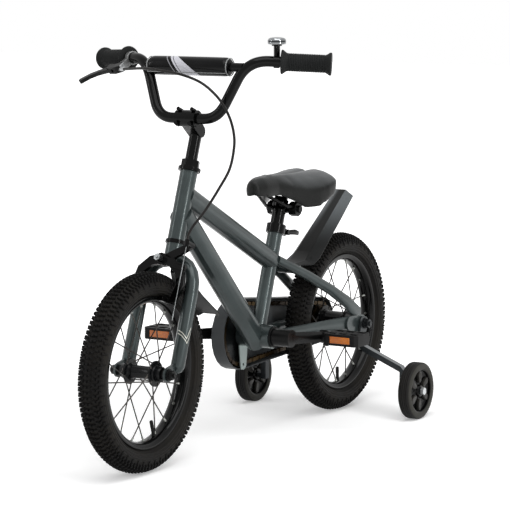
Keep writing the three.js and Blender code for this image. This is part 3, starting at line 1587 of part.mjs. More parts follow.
function saddleStations(firstShare = 0, lastShare = 1) {
  const rows = saddleStationShares.filter(([along]) => along >= firstShare && along <= lastShare);
  return rows.map(([along, width, rise, skirt, channel]) => ({
    x: saddleNoseX - saddleLength * along,
    halfWidth: (saddleWidth / 2) * width,
    top: mix(saddleNoseHeight, saddleTailHeight, rise),
    skirt: saddleSkirt * skirt,
    channel: saddleChannelDepth * channel,
  }));
}

function saddleCushion() {
  const rings = saddleStations().map(({ x, halfWidth, top, skirt, channel }) => {
    const upper = saddleCrownShares.map((share) => {
      const fall = skirt * saddleFallShare * share ** saddleCrownPower;
      const dip = channel * Math.max(0, 1 - share / saddleChannelShare);
      return [halfWidth * share, top - fall - dip];
    });
    const under = [
      [halfWidth * saddleSkirtOuterShare, top - skirt],
      [halfWidth * saddleSkirtInnerShare, top - skirt],
      [halfWidth * saddleUnderShare, top - Math.min(skirt, saddleThick)],
      [0, top - saddleThick * saddleCentreShare],
    ];
    const half = [...upper, ...under];
    const other = half.slice(1, -1).map(([y, z]) => [-y, z]).reverse();
    return [...half, ...other].map(([y, z]) => vec(x, y, z));
  });
  return loft(rings);
}

function saddleBase() {
  const rings = saddleStations(...saddleBaseEndShares).map(({ x, halfWidth, top }) => {
    const reach = halfWidth * saddleBaseShare;
    const ceiling = top - saddleThick * saddleCentreShare - saddleBaseDrop;
    const edge = mix(ceiling, top - saddleThick - saddleBaseDrop, saddleBaseShare / saddleUnderShare);
    const section = [
      [0, ceiling], [reach, edge], [reach, edge - saddleBaseThick],
      [0, ceiling - saddleBaseThick], [-reach, edge - saddleBaseThick], [-reach, edge],
    ];
    return section.map(([y, z]) => vec(x, y, z));
  });
  return cut(loft(rings), saddleRails(gap));
}

// Fork and headset, in the steering frame

function forkLeg(side) {
  const half = (side * forkLegSpread) / 2;
  const root = vec(0, side * forkShoulderRoot, forkShoulderAlong);
  const corner = vec(0, half, forkShoulderAlong);
  const bendEnd = vec(0, half, forkShoulderAlong - forkShoulderDrop);
  const shoulder = new THREE.QuadraticBezierCurve3(root, corner, bendEnd).getPoints(forkShoulderSteps);
  const places = shoulder.map((at) => ({ at, radius: forkLegRadius }));
  forkFootShares.forEach(([down, share]) => places.push({
    at: vec(0, half, forkLegFoot - forkLegRadius * down), radius: forkLegRadius * share,
  }));
  return sweep(places, forkLegSides);
}

function forkDropout(side) {
  const plate = strap(forkRake, 0, dropoutAxleRadius, 0, forkLegFoot, dropoutLegRadius);
  plate.holes.push(roundHole(forkRake, 0, axleRadius));
  plate.holes.push(roundHole(forkRake * dropoutHoleShare, forkLegFoot * dropoutHoleShare, dropoutHoleRadius));
  const low = (side * forkLegSpread) / 2 - dropoutThick / 2;
  return slabXZ(plate, low, low + dropoutThick);
}

function fork() {
  const crownTop = headTubeLow - headsetCupHeight - gap * 2;
  const crown = rod(vec(0, 0, crownTop - forkCrownHeight), vec(0, 0, crownTop), forkCrownRadius, tubeSides);
  const steererTop = headTubeHigh + steererTopStand;
  const steerer = rod(vec(0, 0, crownTop - joinSink), vec(0, 0, steererTop), steererRadius);
  const inside = bore(vec(0, 0, quillFoot), vec(0, 0, steererTop), quillRadius, shaftSides);
  const legs = [-1, 1].flatMap((side) => [forkLeg(side), forkDropout(side)]);
  const reach = forkCrownRadius;
  const boltHole = bore(vec(-reach, 0, caliperAlong), vec(reach, 0, caliperAlong), caliperBoltRadius);
  return cut(join(crown, steerer, ...legs), inside, boltHole);
}

function headsetLower() {
  const top = headTubeLow - gap;
  const low = top - headsetCupHeight;
  return sleeve(vec(0, 0, low), vec(0, 0, top), steererRadius, headsetCupRadius);
}

function headsetUpper() {
  const low = headTubeHigh + gap;
  return sleeve(vec(0, 0, low), vec(0, 0, low + headsetTopHeight), steererRadius, headsetTopRadius);
}

// The nut closes over the end of the steerer, so only the quill passes through its top.
function headsetLocknut() {
  const low = headTubeHigh + headsetTopHeight + gap * 2;
  const steererTop = headTubeHigh + steererTopStand + gap;
  const top = steererTop + locknutLid;
  const nut = rod(vec(0, 0, low), vec(0, 0, top), locknutRadius, smallSides);
  const thread = bore(vec(0, 0, low), vec(0, 0, steererTop - cutOverrun), steererRadius, shaftSides);
  return cut(nut, thread, bore(vec(0, 0, low), vec(0, 0, top), quillRadius, shaftSides));
}

// Stem, handlebar and what it carries, in the steering frame

function stemBody() {
  const [f, a] = [barClampForward, barClampAlong];
  const quill = rod(vec(0, 0, quillFoot), vec(0, 0, quillTop), quillRadius);
  const neckOutline = strap(0, quillTop - stemNeckRadius, stemNeckRadius, f, a, stemNeckEndRadius);
  const neck = slabXZ(neckOutline, -stemNeckHalf, stemNeckHalf);
  const frontHalf = stemHalf(f + stemSplit, f + stemClampRadius * 2);
  const expanderTop = quillTop + expanderHeight;
  const expander = rod(vec(0, 0, quillTop - joinSink), vec(0, 0, expanderTop), expanderRadius, nutSides);
  return cut(join(quill, neck, stemClampBlank(), expander), barBore(), frontHalf);
}

function stemClampBlank() {
  const [f, a] = [barClampForward, barClampAlong];
  return rod(vec(f, -stemClampHalf, a), vec(f, stemClampHalf, a), stemClampRadius, tubeSides);
}

function barBore() {
  const [f, a] = [barClampForward, barClampAlong];
  return bore(vec(f, -stemClampHalf, a), vec(f, stemClampHalf, a), barRadius, shaftSides);
}

// The room in front of or behind the split in the stem's clamp.
function stemHalf(from, to) {
  const [side, rise] = [stemClampHalf + cutOverrun, stemClampRadius * 2];
  return box(vec(from, -side, barClampAlong - rise), vec(to, side, barClampAlong + rise));
}

function stemCap() {
  const [f, a] = [barClampForward, barClampAlong];
  const split = f + stemSplit + gap;
  const backHalf = stemHalf(f - stemClampRadius * 2, split);
  const bolts = [];
  [-1, 1].forEach((side) => [-1, 1].forEach((rise) => {
    const y = side * (stemClampHalf - stemBoltInset);
    const z = a + rise * (barRadius + stemBoltRadius);
    bolts.push(rod(vec(split, y, z), vec(f + stemBoltReach, y, z), stemBoltRadius, nutSides));
  }));
  return cut(join(cut(stemClampBlank(), backHalf), ...bolts), barBore());
}

function barPoints() {
  const [f, a] = [barClampForward, barClampAlong];
  const half = [
    vec(f + barEndForward, barEndHalf - gripEndWall - gap, a + barEndRise),
    vec(f + barShoulderForward, barShoulderHalf, a + barShoulderRise),
    vec(f, barFloorHalf, a),
  ];
  return [...half.map((point) => vec(point.x, -point.y, point.z)), ...half.reverse()];
}

// The straight outer run of the bar, from its shoulder bend to its end, on one side.
function barEndLine(side) {
  const points = barPoints();
  const end = side > 0 ? points[points.length - 1] : points[0];
  const shoulder = side > 0 ? points[points.length - 2] : points[1];
  return { end, out: end.clone().sub(shoulder).normalize() };
}

function handlebar() {
  const bends = [barShoulderBend, barFloorBend, barFloorBend, barShoulderBend];
  const places = bentPath(barPoints(), bends, barSteps).map((at) => ({ at, radius: barRadius }));
  const { forward, along, side } = crossbarPlace();
  const crossbar = rod(vec(forward, -side, along), vec(forward, side, along), crossbarRadius, holeSides);
  return join(sweep(places, barSides), crossbar);
}

// Where the crossbar meets the bar's rise.
function crossbarPlace() {
  const share = crossbarRise / barShoulderRise;
  return {
    forward: barClampForward + barShoulderForward * share,
    along: barClampAlong + crossbarRise,
    side: mix(barFloorHalf, barShoulderHalf, share),
  };
}

// The pad is pushed to the right, where it lies against the bar's rise.
function crossbarPad() {
  const { forward, along } = crossbarPlace();
  const half = crossbarPadHalf;
  const edge = crossbarPadRadius - crossbarPadRound;
  const inside = snug(crossbarRadius, crossbarPadSides);
  const profile = [
    [inside, -half], [edge, -half], [crossbarPadRadius, -half + crossbarPadRound],
    [crossbarPadRadius, half - crossbarPadRound], [edge, half], [inside, half],
  ];
  const pad = turned(profile, crossbarPadSides).translate(forward, -crossbarPadShift, along);
  const [rise, foot] = barPoints().slice(1, 3);
  return cut(pad, rod(rise, foot, snug(barRadius + gap, barSides), barSides));
}

function grip(side) {
  const { end, out } = barEndLine(side);
  const inside = snug(barRadius, gripSides);
  const start = gripLength - gripEndWall;
  const profile = [
    [0, gripLength], [gripOuterFlangeRadius - gripEdge, gripLength],
    [gripOuterFlangeRadius, gripLength - gripFlangeWidth], [gripRadius, gripLength - gripFlareRun],
    [gripRadius, gripFlareRun + gripFlangeWidth], [gripInnerFlangeRadius, gripFlangeWidth],
    [gripInnerFlangeRadius - gripEdge, 0], [inside, 0], [inside, start], [0, start],
  ];
  return stood(turned(profile, gripSides), end.clone().addScaledVector(out, gap - start), out);
}

function bellPlace() {
  const { end, out } = barEndLine(1);
  const inward = gripLength - gripEndWall + bellFromGrip;
  const up = vec(Math.sin(steeringTilt), 0, Math.cos(steeringTilt));
  return { centre: end.clone().addScaledVector(out, -inward), out, up };
}

function bellBase() {
  const { centre, out, up } = bellPlace();
  const from = centre.clone().addScaledVector(out, -bellBandHalf);
  const to = centre.clone().addScaledVector(out, bellBandHalf);
  const above = (rise) => centre.clone().addScaledVector(up, rise);
  const discLow = bellDomeRise - bellBaseThick;
  const stalk = rod(above(barRadius), above(discLow + joinSink), bellStalkRadius, smallSides);
  const disc = rod(above(discLow), above(bellDomeRise - gap), bellBaseRadius);
  return cut(join(rod(from, to, bellBandRadius), stalk, disc), bore(from, to, barRadius, shaftSides));
}

function bellDome() {
  const { centre, up } = bellPlace();
  const crown = bellDomeShares.map(([out, rise]) => [bellDomeRadius * out, bellDomeHeight * rise]);
  const profile = [[0, 0], [bellDomeRadius, 0], ...crown, [0, bellDomeHeight]];
  return stood(turned(profile, tubeSides), centre.clone().addScaledVector(up, bellDomeRise), up);
}

// The striker reaches back to the rider's thumb from under the dome.
function bellStriker() {
  const { centre, out, up } = bellPlace();
  const low = bellDomeRise - bellBaseThick - gap * 2;
  const back = up.clone().cross(out).normalize();
  const root = centre.clone().addScaledVector(up, low - bellStrikerRadius);
  root.addScaledVector(back, bellStalkRadius + gap * 2);
  const tip = root.clone().addScaledVector(back, bellStrikerLength);
  const ball = new THREE.SphereGeometry(bellStrikerBallRadius, nutSides, bellStrikerBallRows);
  ball.translate(tip.x, tip.y, tip.z);
  return join(rod(root, tip, bellStrikerRadius, nutSides, bellStrikerTipRadius), ball);
}

// The brake lever's own frame: X runs out along the bar, Y points away from the bar towards the fingers.

function leverFrame() {
  const { end, out } = barEndLine(-1);
  const origin = end.clone().addScaledVector(out, -(gripLength - gripEndWall + leverBandFromGrip));
  const towardsFingers = vec(...leverHeading);
  towardsFingers.addScaledVector(out, -towardsFingers.dot(out)).normalize();
  const pin = out.clone().cross(towardsFingers);
  const group = new THREE.Group();
  group.position.copy(origin);
  group.quaternion.setFromRotationMatrix(new THREE.Matrix4().makeBasis(out, towardsFingers, pin));
  return group;
}

function leverBracket() {
  const [from, to] = [vec(-leverBandHalf, 0, 0), vec(leverBandHalf, 0, 0)];
  const half = leverBracketHalf;
  const knee = leverPivotOut * leverYokeKneeShare;
  const yoke = slabXY(bandShape([
    [0, leverBandRadius - joinSink], [0, leverPivotDown - leverBandHalf],
    [knee, leverPivotDown], [leverPivotOut + leverYokeEnd, leverPivotDown],
  ], leverYokeHalves), -half, half);
  const slotHalf = leverBladeThick / 2 + gap;
  const slot = box(
    vec(knee, leverPivotDown - leverSlotDepth, -slotHalf),
    vec(leverPivotOut * 2, leverPivotDown + leverSlotDepth, slotHalf),
  );
  const adjusterEnd = vec(-leverBandHalf - adjusterLength, leverPivotDown, 0);
  const adjuster = rod(vec(0, leverPivotDown, 0), adjusterEnd, adjusterRadius, smallSides);
  const pinAt = (z) => vec(leverPivotOut, leverPivotDown, z);
  const pin = rod(pinAt(-half), pinAt(half), leverPinRadius, smallSides);
  const body = join(rod(from, to, leverBandRadius), yoke, adjuster);
  return join(cut(body, bore(from, to, barRadius, shaftSides), slot), pin);
}

function leverBlade() {
  const [x, y] = [leverPivotOut, leverPivotDown];
  const at = ([along, drop]) => [x + leverBladeReach * along, y + leverBladeDrop * drop];
  const points = leverBladeShares.map(at);
  const half = leverBladeThick / 2;
  const [tipX, tipY] = points[points.length - 1];
  const tip = rod(vec(tipX, tipY, -half), vec(tipX, tipY, half), leverTipRadius, smallSides);
  const hole = bore(vec(x, y, -half), vec(x, y, half), leverPinRadius);
  return cut(join(slabXY(bandShape(points, leverBladeHalves), -half, half), tip), hole);
}

// Front brake, in the steering frame

function caliperBolt() {
  const back = -forkCrownRadius - mudguardWall - gap * 3;
  const at = (f) => vec(f, 0, caliperAlong);
  const armsFront = caliperStandOff + 2 * caliperPlateThick + gap * 3;
  return join(
    rod(at(back - caliperNutLength), at(caliperBoltFront), caliperBoltRadius, nutSides),
    rod(at(back - caliperNutLength), at(back), caliperBoltHead, nutSides),
    rod(at(armsFront), at(caliperBoltFront - caliperNutBack), caliperBoltHead, nutSides),
    rod(at(forkCrownRadius + gap), at(caliperStandOff - gap), caliperSpacerRadius, smallSides),
  );
}

// One arm: an arch from the pad over the tyre to the pivot, and a cable end on the left.
function caliperArm(side) {
  const low = side > 0 ? caliperStandOff : caliperStandOff + caliperPlateThick + gap;
  const high = low + caliperPlateThick;
  const at = ([out, rise]) => [side * caliperArchHalf * out, mix(brakeTrackRadius, caliperAlong, rise)];
  const endAlong = side > 0 ? brakeStopAlong : brakeAnchorAlong;
  const cableEnd = bandShape([[0, caliperAlong], [brakeStopLeft, endAlong]], caliperLugHalves);
  const arm = join(
    slabYZ(bandShape(caliperArmShares.map(at), caliperArmHalves), low, high),
    slabYZ(cableEnd, low, high),
    rod(vec(low, 0, caliperAlong), vec(high, 0, caliperAlong), caliperBossRadius),
    ...(side > 0 ? cableStop(low) : cableAnchor(low)),
    ...brakePad(side, (low + high) / 2),
  );
  const boltHole = bore(vec(low, 0, caliperAlong), vec(high, 0, caliperAlong), caliperBoltRadius);
  return side > 0 ? cut(arm, boltHole, wireRoom()) : cut(arm, boltHole);
}

// The cable's inner wire runs in front of both arms and of the anchor bolt's head.
function cableForward() {
  const armsFront = caliperStandOff + 2 * caliperPlateThick + gap;
  return armsFront + brakeAnchorHead + gap + brakeWireRadius;
}

// The left arm's boss and the barrel that stops the cable's housing.
function cableStop(low) {
  const at = (forward, rise) => vec(forward, brakeStopLeft, brakeStopAlong + rise);
  const [front, half] = [cableForward(), brakeStopHeight / 2];
  return [
    rod(at(front, -half), at(front, half), brakeStopRadius, smallSides),
    rod(at(low, 0), at(front, 0), brakeStopBossRadius, smallSides),
  ];
}

// The head of the bolt on the right arm that clamps the inner wire.
function cableAnchor(low) {
  const front = low + caliperPlateThick;
  const at = (forward) => vec(forward, brakeStopLeft, brakeAnchorAlong);
  return [rod(at(front - joinSink), at(front + brakeAnchorHead), caliperClampBoltRadius, smallSides)];
}

function brakePad(side, middle) {
  const padIn = rimWidth / 2 + brakePadGap;
  const padOut = padIn + brakePadThick;
  const [left, right] = side > 0 ? [padIn, padOut] : [-padOut, -padIn];
  const [half, tall] = [brakePadLength / 2, brakePadTall / 2];
  const block = box(
    vec(middle - half, left, brakeTrackRadius - tall),
    vec(middle + half, right, brakeTrackRadius + tall),
  );
  const [boltFrom, boltTo] = [side * (padOut - joinSink), side * (padOut + brakePadBoltReach)];
  return [block, crossRod(middle, brakeTrackRadius, boltFrom, boltTo, caliperClampBoltRadius, nutSides)];
}

// The wire's way through the barrel.
function wireRoom() {
  const at = (rise) => vec(cableForward(), brakeStopLeft, brakeStopAlong + rise);
  return bore(at(-brakeStopHeight), at(brakeStopHeight), brakeWireRadius, nutSides);
}

function brakeInnerWire() {
  const f = cableForward();
  const at = (forward, along) => vec(f + forward, brakeStopLeft, along);
  const tail = at(brakeWireTailForward, brakeAnchorAlong - brakeWireTail);
  const cap = [brakeWireCapAbove, -brakeWireCapUnder].map((rise) => tail.clone().add(vec(0, 0, rise)));
  const wire = (from, to) => rod(from, to, brakeWireRadius, nutSides);
  return join(
    wire(at(0, brakeAnchorAlong - brakeWireRadius), at(0, brakeStopAlong + brakeStopHeight / 2)),
    wire(at(0, brakeAnchorAlong + brakeWireRadius), tail),
    rod(...cap, brakeWireCapRadius, nutSides),
  );
}

// The brake cable from the lever's adjuster to the caliper's: points in the steering frame.
function brakeCable(leverEnd, leverDirection) {
  const stop = vec(cableForward(), brakeStopLeft, brakeStopAlong + brakeStopHeight / 2 + gap);
  const route = [
    leverEnd,
    leverEnd.clone().addScaledVector(leverDirection, cableLead),
    ...cableRoute.map((point) => vec(...point)),
    stop.clone().add(vec(0, cableStopSwing, cableStopLead)),
    stop.clone().add(vec(0, 0, cableStopRun)),
    stop,
  ];
  const curve = new THREE.CatmullRomCurve3(route, false, 'centripetal');
  return tube(curve, cableRadius, cableSides, cableSteps);
}

// Mudguards: a bent strip whose sides turn down

function troughRing({ at, half, side }, normal, bendShare) {
  const [bend, wall] = [half * bendShare, mudguardWall];
  const outer = [[-half, -side], [-bend, 0], [bend, 0], [half, -side]];
  const inner = [[half, -side - wall], [bend, -wall], [-bend, -wall], [-half, -side - wall]];
  return [...outer, ...inner].map(([y, rise]) => at.clone().add(vec(0, y, 0)).addScaledVector(normal, rise));
}

function troughLoft(rows, bendShare) {
  return loft(rows.map((row, i) => {
    const before = rows[Math.max(i - 1, 0)].at;
    const after = rows[Math.min(i + 1, rows.length - 1)].at;
    const normal = vec(0, 1, 0).cross(after.clone().sub(before)).normalize();
    return troughRing(row, normal, bendShare);
  }));
}

function frontMudguard() {
  const backFace = -forkCrownRadius - gap - mudguardWall;
  const wheel = tyreRadius + mudguardTyreGap;
  const half = frontMudguardWidth / 2;
  const arc = (turn) => vec(forkRake - wheel * Math.sin(turn), 0, wheel * Math.cos(turn));
  const back = wheelbase * frontMudguardTailBackShare;
  const tail = vec(-back, 0, frontMudguardTailRise).applyAxisAngle(vec(0, 1, 0), steeringTilt);
  tail.add(vec(forkRake, 0, 0));
  const tab = frontMudguardTabEnds.map((rise) => ({
    at: vec(backFace, 0, caliperAlong + rise), half: frontMudguardTabWidth / 2, side: 0,
  }));
  const turn = frontMudguardTurns.map(([angle, width, side]) => ({
    at: arc(angle * degree), half: half * width, side: frontMudguardSkirt * side,
  }));
  const bladeRoot = turn[turn.length - 1].at;
  const blade = frontMudguardBladeShares.map(([share, width, side]) => ({
    at: bladeRoot.clone().lerp(tail, share), half: half * width, side: frontMudguardSkirt * side,
  }));
  const holeEnds = [backFace, -forkCrownRadius].map((f) => vec(f, 0, caliperAlong));
  const hole = bore(...holeEnds, caliperBoltRadius);
  return cut(troughLoft([...tab, ...turn, ...blade], frontMudguardBendShare), hole);
}

function rearMudguard() {
  const slope = rearMudguardAngle * degree;
  const along = vec(-Math.cos(slope), 0, Math.sin(slope));
  const up = vec(Math.sin(slope), 0, Math.cos(slope));
  const clear = tyreRadius + rearMudguardTyreGap + mudguardWall + rearMudguardSkirt;
  const foot = vec(rearAxleX, 0, tyreRadius).addScaledVector(up, clear);
  foot.addScaledVector(along, -rearMudguardRootBack * rearMudguardFootShare);
  const seat = seatstayPoint(1, bridgeStation).add(vec(-bridgeRadius - gap, 0, 0)).setY(0);
  const tab = [-bridgeRadius, bridgeRadius].map((rise) => ({
    at: seat.clone().add(vec(0, 0, rise)), half: mudguardTongueWidth / 2, side: 0,
  }));
  const [root, tip] = [rearMudguardRootWidth / 2, rearMudguardTipWidth / 2];
  const blade = rearMudguardShares.map(([share, narrowing, side]) => ({
    at: foot.clone().addScaledVector(along, rearMudguardLength * share),
    half: mix(root, tip, narrowing),
    side: rearMudguardSkirt * side,
  }));
  return troughLoft([...tab, ...blade], rearMudguardBendShare);
}

// Assembly

function frameParts(group) {
  piece(group, 'head_tube', headTube(), finishes.frame);
  const topTube = cut(topTubeBlank(0), headTubeBlank(gap), seatTubeBlank(gap));
  piece(group, 'top_tube', topTube, finishes.frame);
  const downTube = cut(downTubeBlank(0), headTubeBlank(gap), bracketShellBlank(gap), topTubeBlank(gap));
  piece(group, 'down_tube', downTube, finishes.frame);
  piece(group, 'seat_tube', seatTube(), finishes.frame);
  piece(group, 'bottom_bracket_shell', bracketShell(), finishes.frame);
  piece(group, 'chainstay_left', chainstay(1), finishes.frame);
  piece(group, 'chainstay_right', chainstay(-1), finishes.frame);
  piece(group, 'seatstay_left', seatstay(1), finishes.frame);
  piece(group, 'seatstay_right', seatstay(-1), finishes.frame);
  piece(group, 'bottom_bracket_cartridge', bottomBracketCartridge(), finishes.satinBlack);
  piece(group, 'chain_guard', chainGuard(), finishes.plastic);
  piece(group, 'rear_mudguard', rearMudguard(), finishes.plastic);
  piece(group, 'seat_clamp', seatClamp(), finishes.glossBlack);
}

function driveParts(group) {
  piece(group, 'chain', chain(), finishes.chain);
  piece(group, 'chainring', chainring(), finishes.satinBlack);
  piece(group, 'rear_sprocket', rearSprocket(), finishes.steel);
  piece(group, 'crank_left', crankLeft(), finishes.glossBlack);
  piece(group, 'crank_right', crankRight(), finishes.glossBlack);
  piece(group, 'pedal_left', pedal(1), finishes.plastic);
  piece(group, 'pedal_right', pedal(-1), finishes.plastic);
}

function wheelParts(group) {
  piece(group, 'front_tyre', tyre(frontAxleX), finishes.rubber);
  piece(group, 'front_rim', rim(frontAxleX, frontValveLean), finishes.glossBlack);
  piece(group, 'front_hub_and_spokes', frontHub(), finishes.satinBlack);
  piece(group, 'rear_tyre', tyre(rearAxleX), finishes.rubber);
  piece(group, 'rear_rim', rim(rearAxleX, rearValveLean), finishes.glossBlack);
  piece(group, 'rear_hub_and_spokes', rearHub(), finishes.satinBlack);
  piece(group, 'rear_axle', rearAxle(), finishes.zinc);
  piece(group, 'coaster_brake_arm', coasterArm(), finishes.steel);
}

function stabiliserParts(group) {
  piece(group, 'stabiliser_arm_left', stabiliserArm(1), finishes.steel);
  piece(group, 'stabiliser_arm_right', stabiliserArm(-1), finishes.steel);
  piece(group, 'stabiliser_wheel_left', stabiliserWheel(1), finishes.rubber);
  piece(group, 'stabiliser_wheel_right', stabiliserWheel(-1), finishes.rubber);
}

function seatParts(group) {
  piece(group, 'seat_post', seatPost(), finishes.glossBlack);
  piece(group, 'seat_quick_release', seatQuickRelease(), finishes.glossBlack);
  piece(group, 'saddle_clamp', saddleClampShape(), finishes.satinBlack);
  piece(group, 'saddle_rails', saddleRails(0), finishes.satinBlack);
  piece(group, 'saddle_base', saddleBase(), finishes.plastic);
  piece(group, 'saddle_cushion', saddleCushion(), finishes.vinyl);
}

function steeringParts(group) {
  piece(group, 'headset_lower', headsetLower(), finishes.satinBlack);
  piece(group, 'headset_upper', headsetUpper(), finishes.satinBlack);
  piece(group, 'fork', fork(), finishes.frame);
  piece(group, 'headset_locknut', headsetLocknut(), finishes.satinBlack);
  piece(group, 'front_axle', frontAxle(), finishes.zinc);
  piece(group, 'front_mudguard', frontMudguard(), finishes.plastic);
  piece(group, 'stem', stemBody(), finishes.glossBlack);
  piece(group, 'stem_cap', stemCap(), finishes.glossBlack);
  piece(group, 'handlebar', handlebar(), finishes.glossBlack);
  piece(group, 'crossbar_pad', crossbarPad(), finishes.foam);
  piece(group, 'grip_left', grip(1), finishes.rubber);
  piece(group, 'grip_right', grip(-1), finishes.rubber);
  piece(group, 'bell_base', bellBase(), finishes.satinBlack);
  piece(group, 'bell_dome', bellDome(), finishes.chrome);
  piece(group, 'bell_striker', bellStriker(), finishes.satinBlack);
}

function brakeParts(group) {
  piece(group, 'caliper_bolt', caliperBolt(), finishes.zinc);
  piece(group, 'caliper_arm_left', caliperArm(1), finishes.satinBlack);
  piece(group, 'caliper_arm_right', caliperArm(-1), finishes.satinBlack);
  piece(group, 'brake_inner_wire', brakeInnerWire(), finishes.zinc);
  const lever = leverFrame();
  group.add(lever);
  piece(lever, 'brake_lever_bracket', leverBracket(), finishes.silver);
  piece(lever, 'brake_lever', leverBlade(), finishes.satinBlack);
  lever.updateMatrix();
  const adjusterEnd = -leverBandHalf - adjusterLength - gap;
  const leverEnd = vec(adjusterEnd, leverPivotDown, 0).applyMatrix4(lever.matrix);
  const inward = vec(-1, 0, 0).transformDirection(lever.matrix);
  piece(group, 'brake_cable', brakeCable(leverEnd, inward), finishes.satinBlack);
}

const bike = new THREE.Group();
const steering = new THREE.Group();
steering.position.set(steerFootX, 0, steerFootZ);
steering.rotation.y = -steeringTilt;
bike.add(steering);

frameParts(bike);
driveParts(bike);
wheelParts(bike);
stabiliserParts(bike);
seatParts(bike);
steeringParts(steering);
brakeParts(steering);

export default bike;
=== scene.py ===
"""Looks of the kids' bike with training wheels. Sizes are in millimetres until a piece is made."""

import math

import bmesh
import bpy
from mathutils import Matrix, Vector


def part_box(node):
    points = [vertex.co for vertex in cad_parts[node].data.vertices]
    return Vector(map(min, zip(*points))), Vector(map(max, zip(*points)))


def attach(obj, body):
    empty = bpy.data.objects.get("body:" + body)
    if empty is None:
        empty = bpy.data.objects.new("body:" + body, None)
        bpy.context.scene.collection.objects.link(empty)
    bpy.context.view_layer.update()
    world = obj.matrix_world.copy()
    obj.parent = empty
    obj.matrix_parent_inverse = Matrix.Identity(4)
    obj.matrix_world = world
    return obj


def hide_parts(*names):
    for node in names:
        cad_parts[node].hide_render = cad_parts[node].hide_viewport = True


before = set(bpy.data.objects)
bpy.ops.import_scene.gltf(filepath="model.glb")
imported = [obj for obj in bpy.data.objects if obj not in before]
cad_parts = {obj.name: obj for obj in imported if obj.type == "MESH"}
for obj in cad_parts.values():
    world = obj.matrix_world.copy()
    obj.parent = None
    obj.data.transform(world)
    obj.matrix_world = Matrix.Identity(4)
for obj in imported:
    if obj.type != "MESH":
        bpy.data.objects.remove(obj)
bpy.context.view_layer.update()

MM = 0.001

sideways = (0, 1, 0)
corners = ((-1, -1), (1, -1), (1, 1), (-1, 1))
left_right = {"left": 1, "right": -1}
crease_degrees = 38

# Camera, in metres
camera_place = (3.7425, 2.2640, 0.8881)
camera_target = (-0.0321, 0.0, 0.3388)
camera_lens = 169.25
camera_sensor = 36
camera_reach = 60

# Light and floor, in metres and watts. A lamp has its place, its two sides and its power.
world_level = 0.38
floor_glow = 0.28
floor_reach = 14
glow_from, glow_to = 0.5, 1.6
lamp_target = (0, 0, 0.35)
lamps = {
    "overhead": ((0.9, 0.8, 3.3), (3.0, 2.4), 74),
    "left_strip": ((2.6, -3.0, 1.9), (0.18, 2.2), 22),
    "right_strip": ((0.9, 3.3, 1.5), (0.2, 2.6), 54),
}

# Wheels
front_axle = Vector((344, 0, 175))
rear_axle = Vector((-344, 0, 175))
section_centre = 149.4
section_rise = 20.4
section_half = 23.3
section_degrees = 4.1
side_ring_height = 0.35
bead_radius = 127.4
bead_half = 12.2
knob_rise = 5.2
knob_sink = 1.2
knobs_around = 110
# Each row: degrees from the crown, width, length, skew, start as a share of a step, how much lower it is
tread_rows = [
    (0, 4.4, 3.8, 0, 0, 0), (15, 4.6, 3.6, 0.8, 0.06, 0.3), (31, 4.8, 3.8, -0.8, 0.5, 0.6),
    (45, 4.6, 3.8, 0.8, 0.56, 1.2), (59, 5.4, 3.8, 0, 0.1, 1.4),
]
lug_degrees = 74
tyre_steps = 160
rim_steps = 128
rim_inner = 120
rim_half = 15
rim_radius = 133
hub_steps = 48
# The hubs' flanges: their radius, and how far apart they are
front_flanges = (22.5, 52)
rear_flanges = (29, 54)
flange_thick = 3
spoke_sets = 5
spoke_sweep = math.radians(36)
spoke_radius = 1.15
lace_offset = 1.7
hole_inset = 2.5
valve_length = 28
front_valve_lean = math.radians(15.6)
rear_valve_lean = math.radians(2.4)

# Chain
chain_pitch = 12.7
ring_teeth = 28
sprocket_teeth = 16
link_count = 70
chain_line = 39
link_tall = 8.2
plate_thick = 0.95
outer_plate, inner_plate = 3.45, 2.4
pin_radius = 1.9
roller_radius = 3.85

# Bracket and steering
bracket = Vector((-40.406, 0, 187))
head_lean = math.radians(20)
steer_foot = Vector((319.568, 0, 166.1075))
bar_radius = 9.5
crossbar_place = (42.9, 547.5)
crossbar_half = 100
crossbar_radius = 8
bar_points = [(-16, -234.7, 576), (44, -105.5, 560.5), (35, -61, 454.5), (35, 61, 454.5),
              (44, 105.5, 560.5), (-16, 234.7, 576)]
bar_bends = [38, 29, 29, 38]
lever_heading = (0.47, -0.386, -0.794)
lever_from_end = 94
pad_half = 84
pad_radius = 17.5
pad_shift = -10
pad_low = -15.5
pad_flattening = 0.25
piping_radius = 0.9
seam_radius = 0.8
grip_length = 88
grip_end_radius = 20.0
rib_pitch = 3.0

# Stabiliser wheels
stabiliser_place = Vector((-331.3, 183, 55))
stabiliser_radius = 55
stabiliser_half = 12.5
stabiliser_grooves = (2.4, 6.0)
stabiliser_petals = 6

# The brake cable's middle line in the steering frame, from the lever's adjuster to the caliper's stop
cable_radius = 2.45
cable_route = [
    (46.9, -145.4, 537.5), (51.9, -134.6, 536.2), (76, -80, 531), (80, -48, 527), (80, -4, 521),
    (77, 38, 509), (71, 62, 495), (64, 83, 476), (54, 100, 449), (46, 109, 420), (40, 109, 396),
    (38, 106, 365), (40, 94, 331), (42, 75, 289), (42.0, 55.5, 258.0), (42.0, 50.5, 244.0),
    (42.0, 50.5, 236.0),
]

# Padding blown up as cloth
cloth_frames = 20
cloth_pressure = 4
cloth_stiffness = 12
cloth_shear = 6

# Saddle, whose length is counted in shares from the nose. Its groove is in metres.
saddle_crown = 481
saddle_nose_lift = 3.5
saddle_nose_end = 0.42
groove_from = 0.42
groove_depth = 0.0035
groove_half = 0.006

# Edges of the CAD nodes, in millimetres
plain_edge = 0.4
soft_edges = {
    "front_mudguard": 1.2, "rear_mudguard": 1.6, "chain_guard": 0.6, "bell_dome": 1.6, "stem": 1.0,
    "stem_cap": 1.0, "crank_left": 1.2, "crank_right": 1.2, "pedal_left": 0.7, "pedal_right": 0.7,
}


# Shapes in millimetres

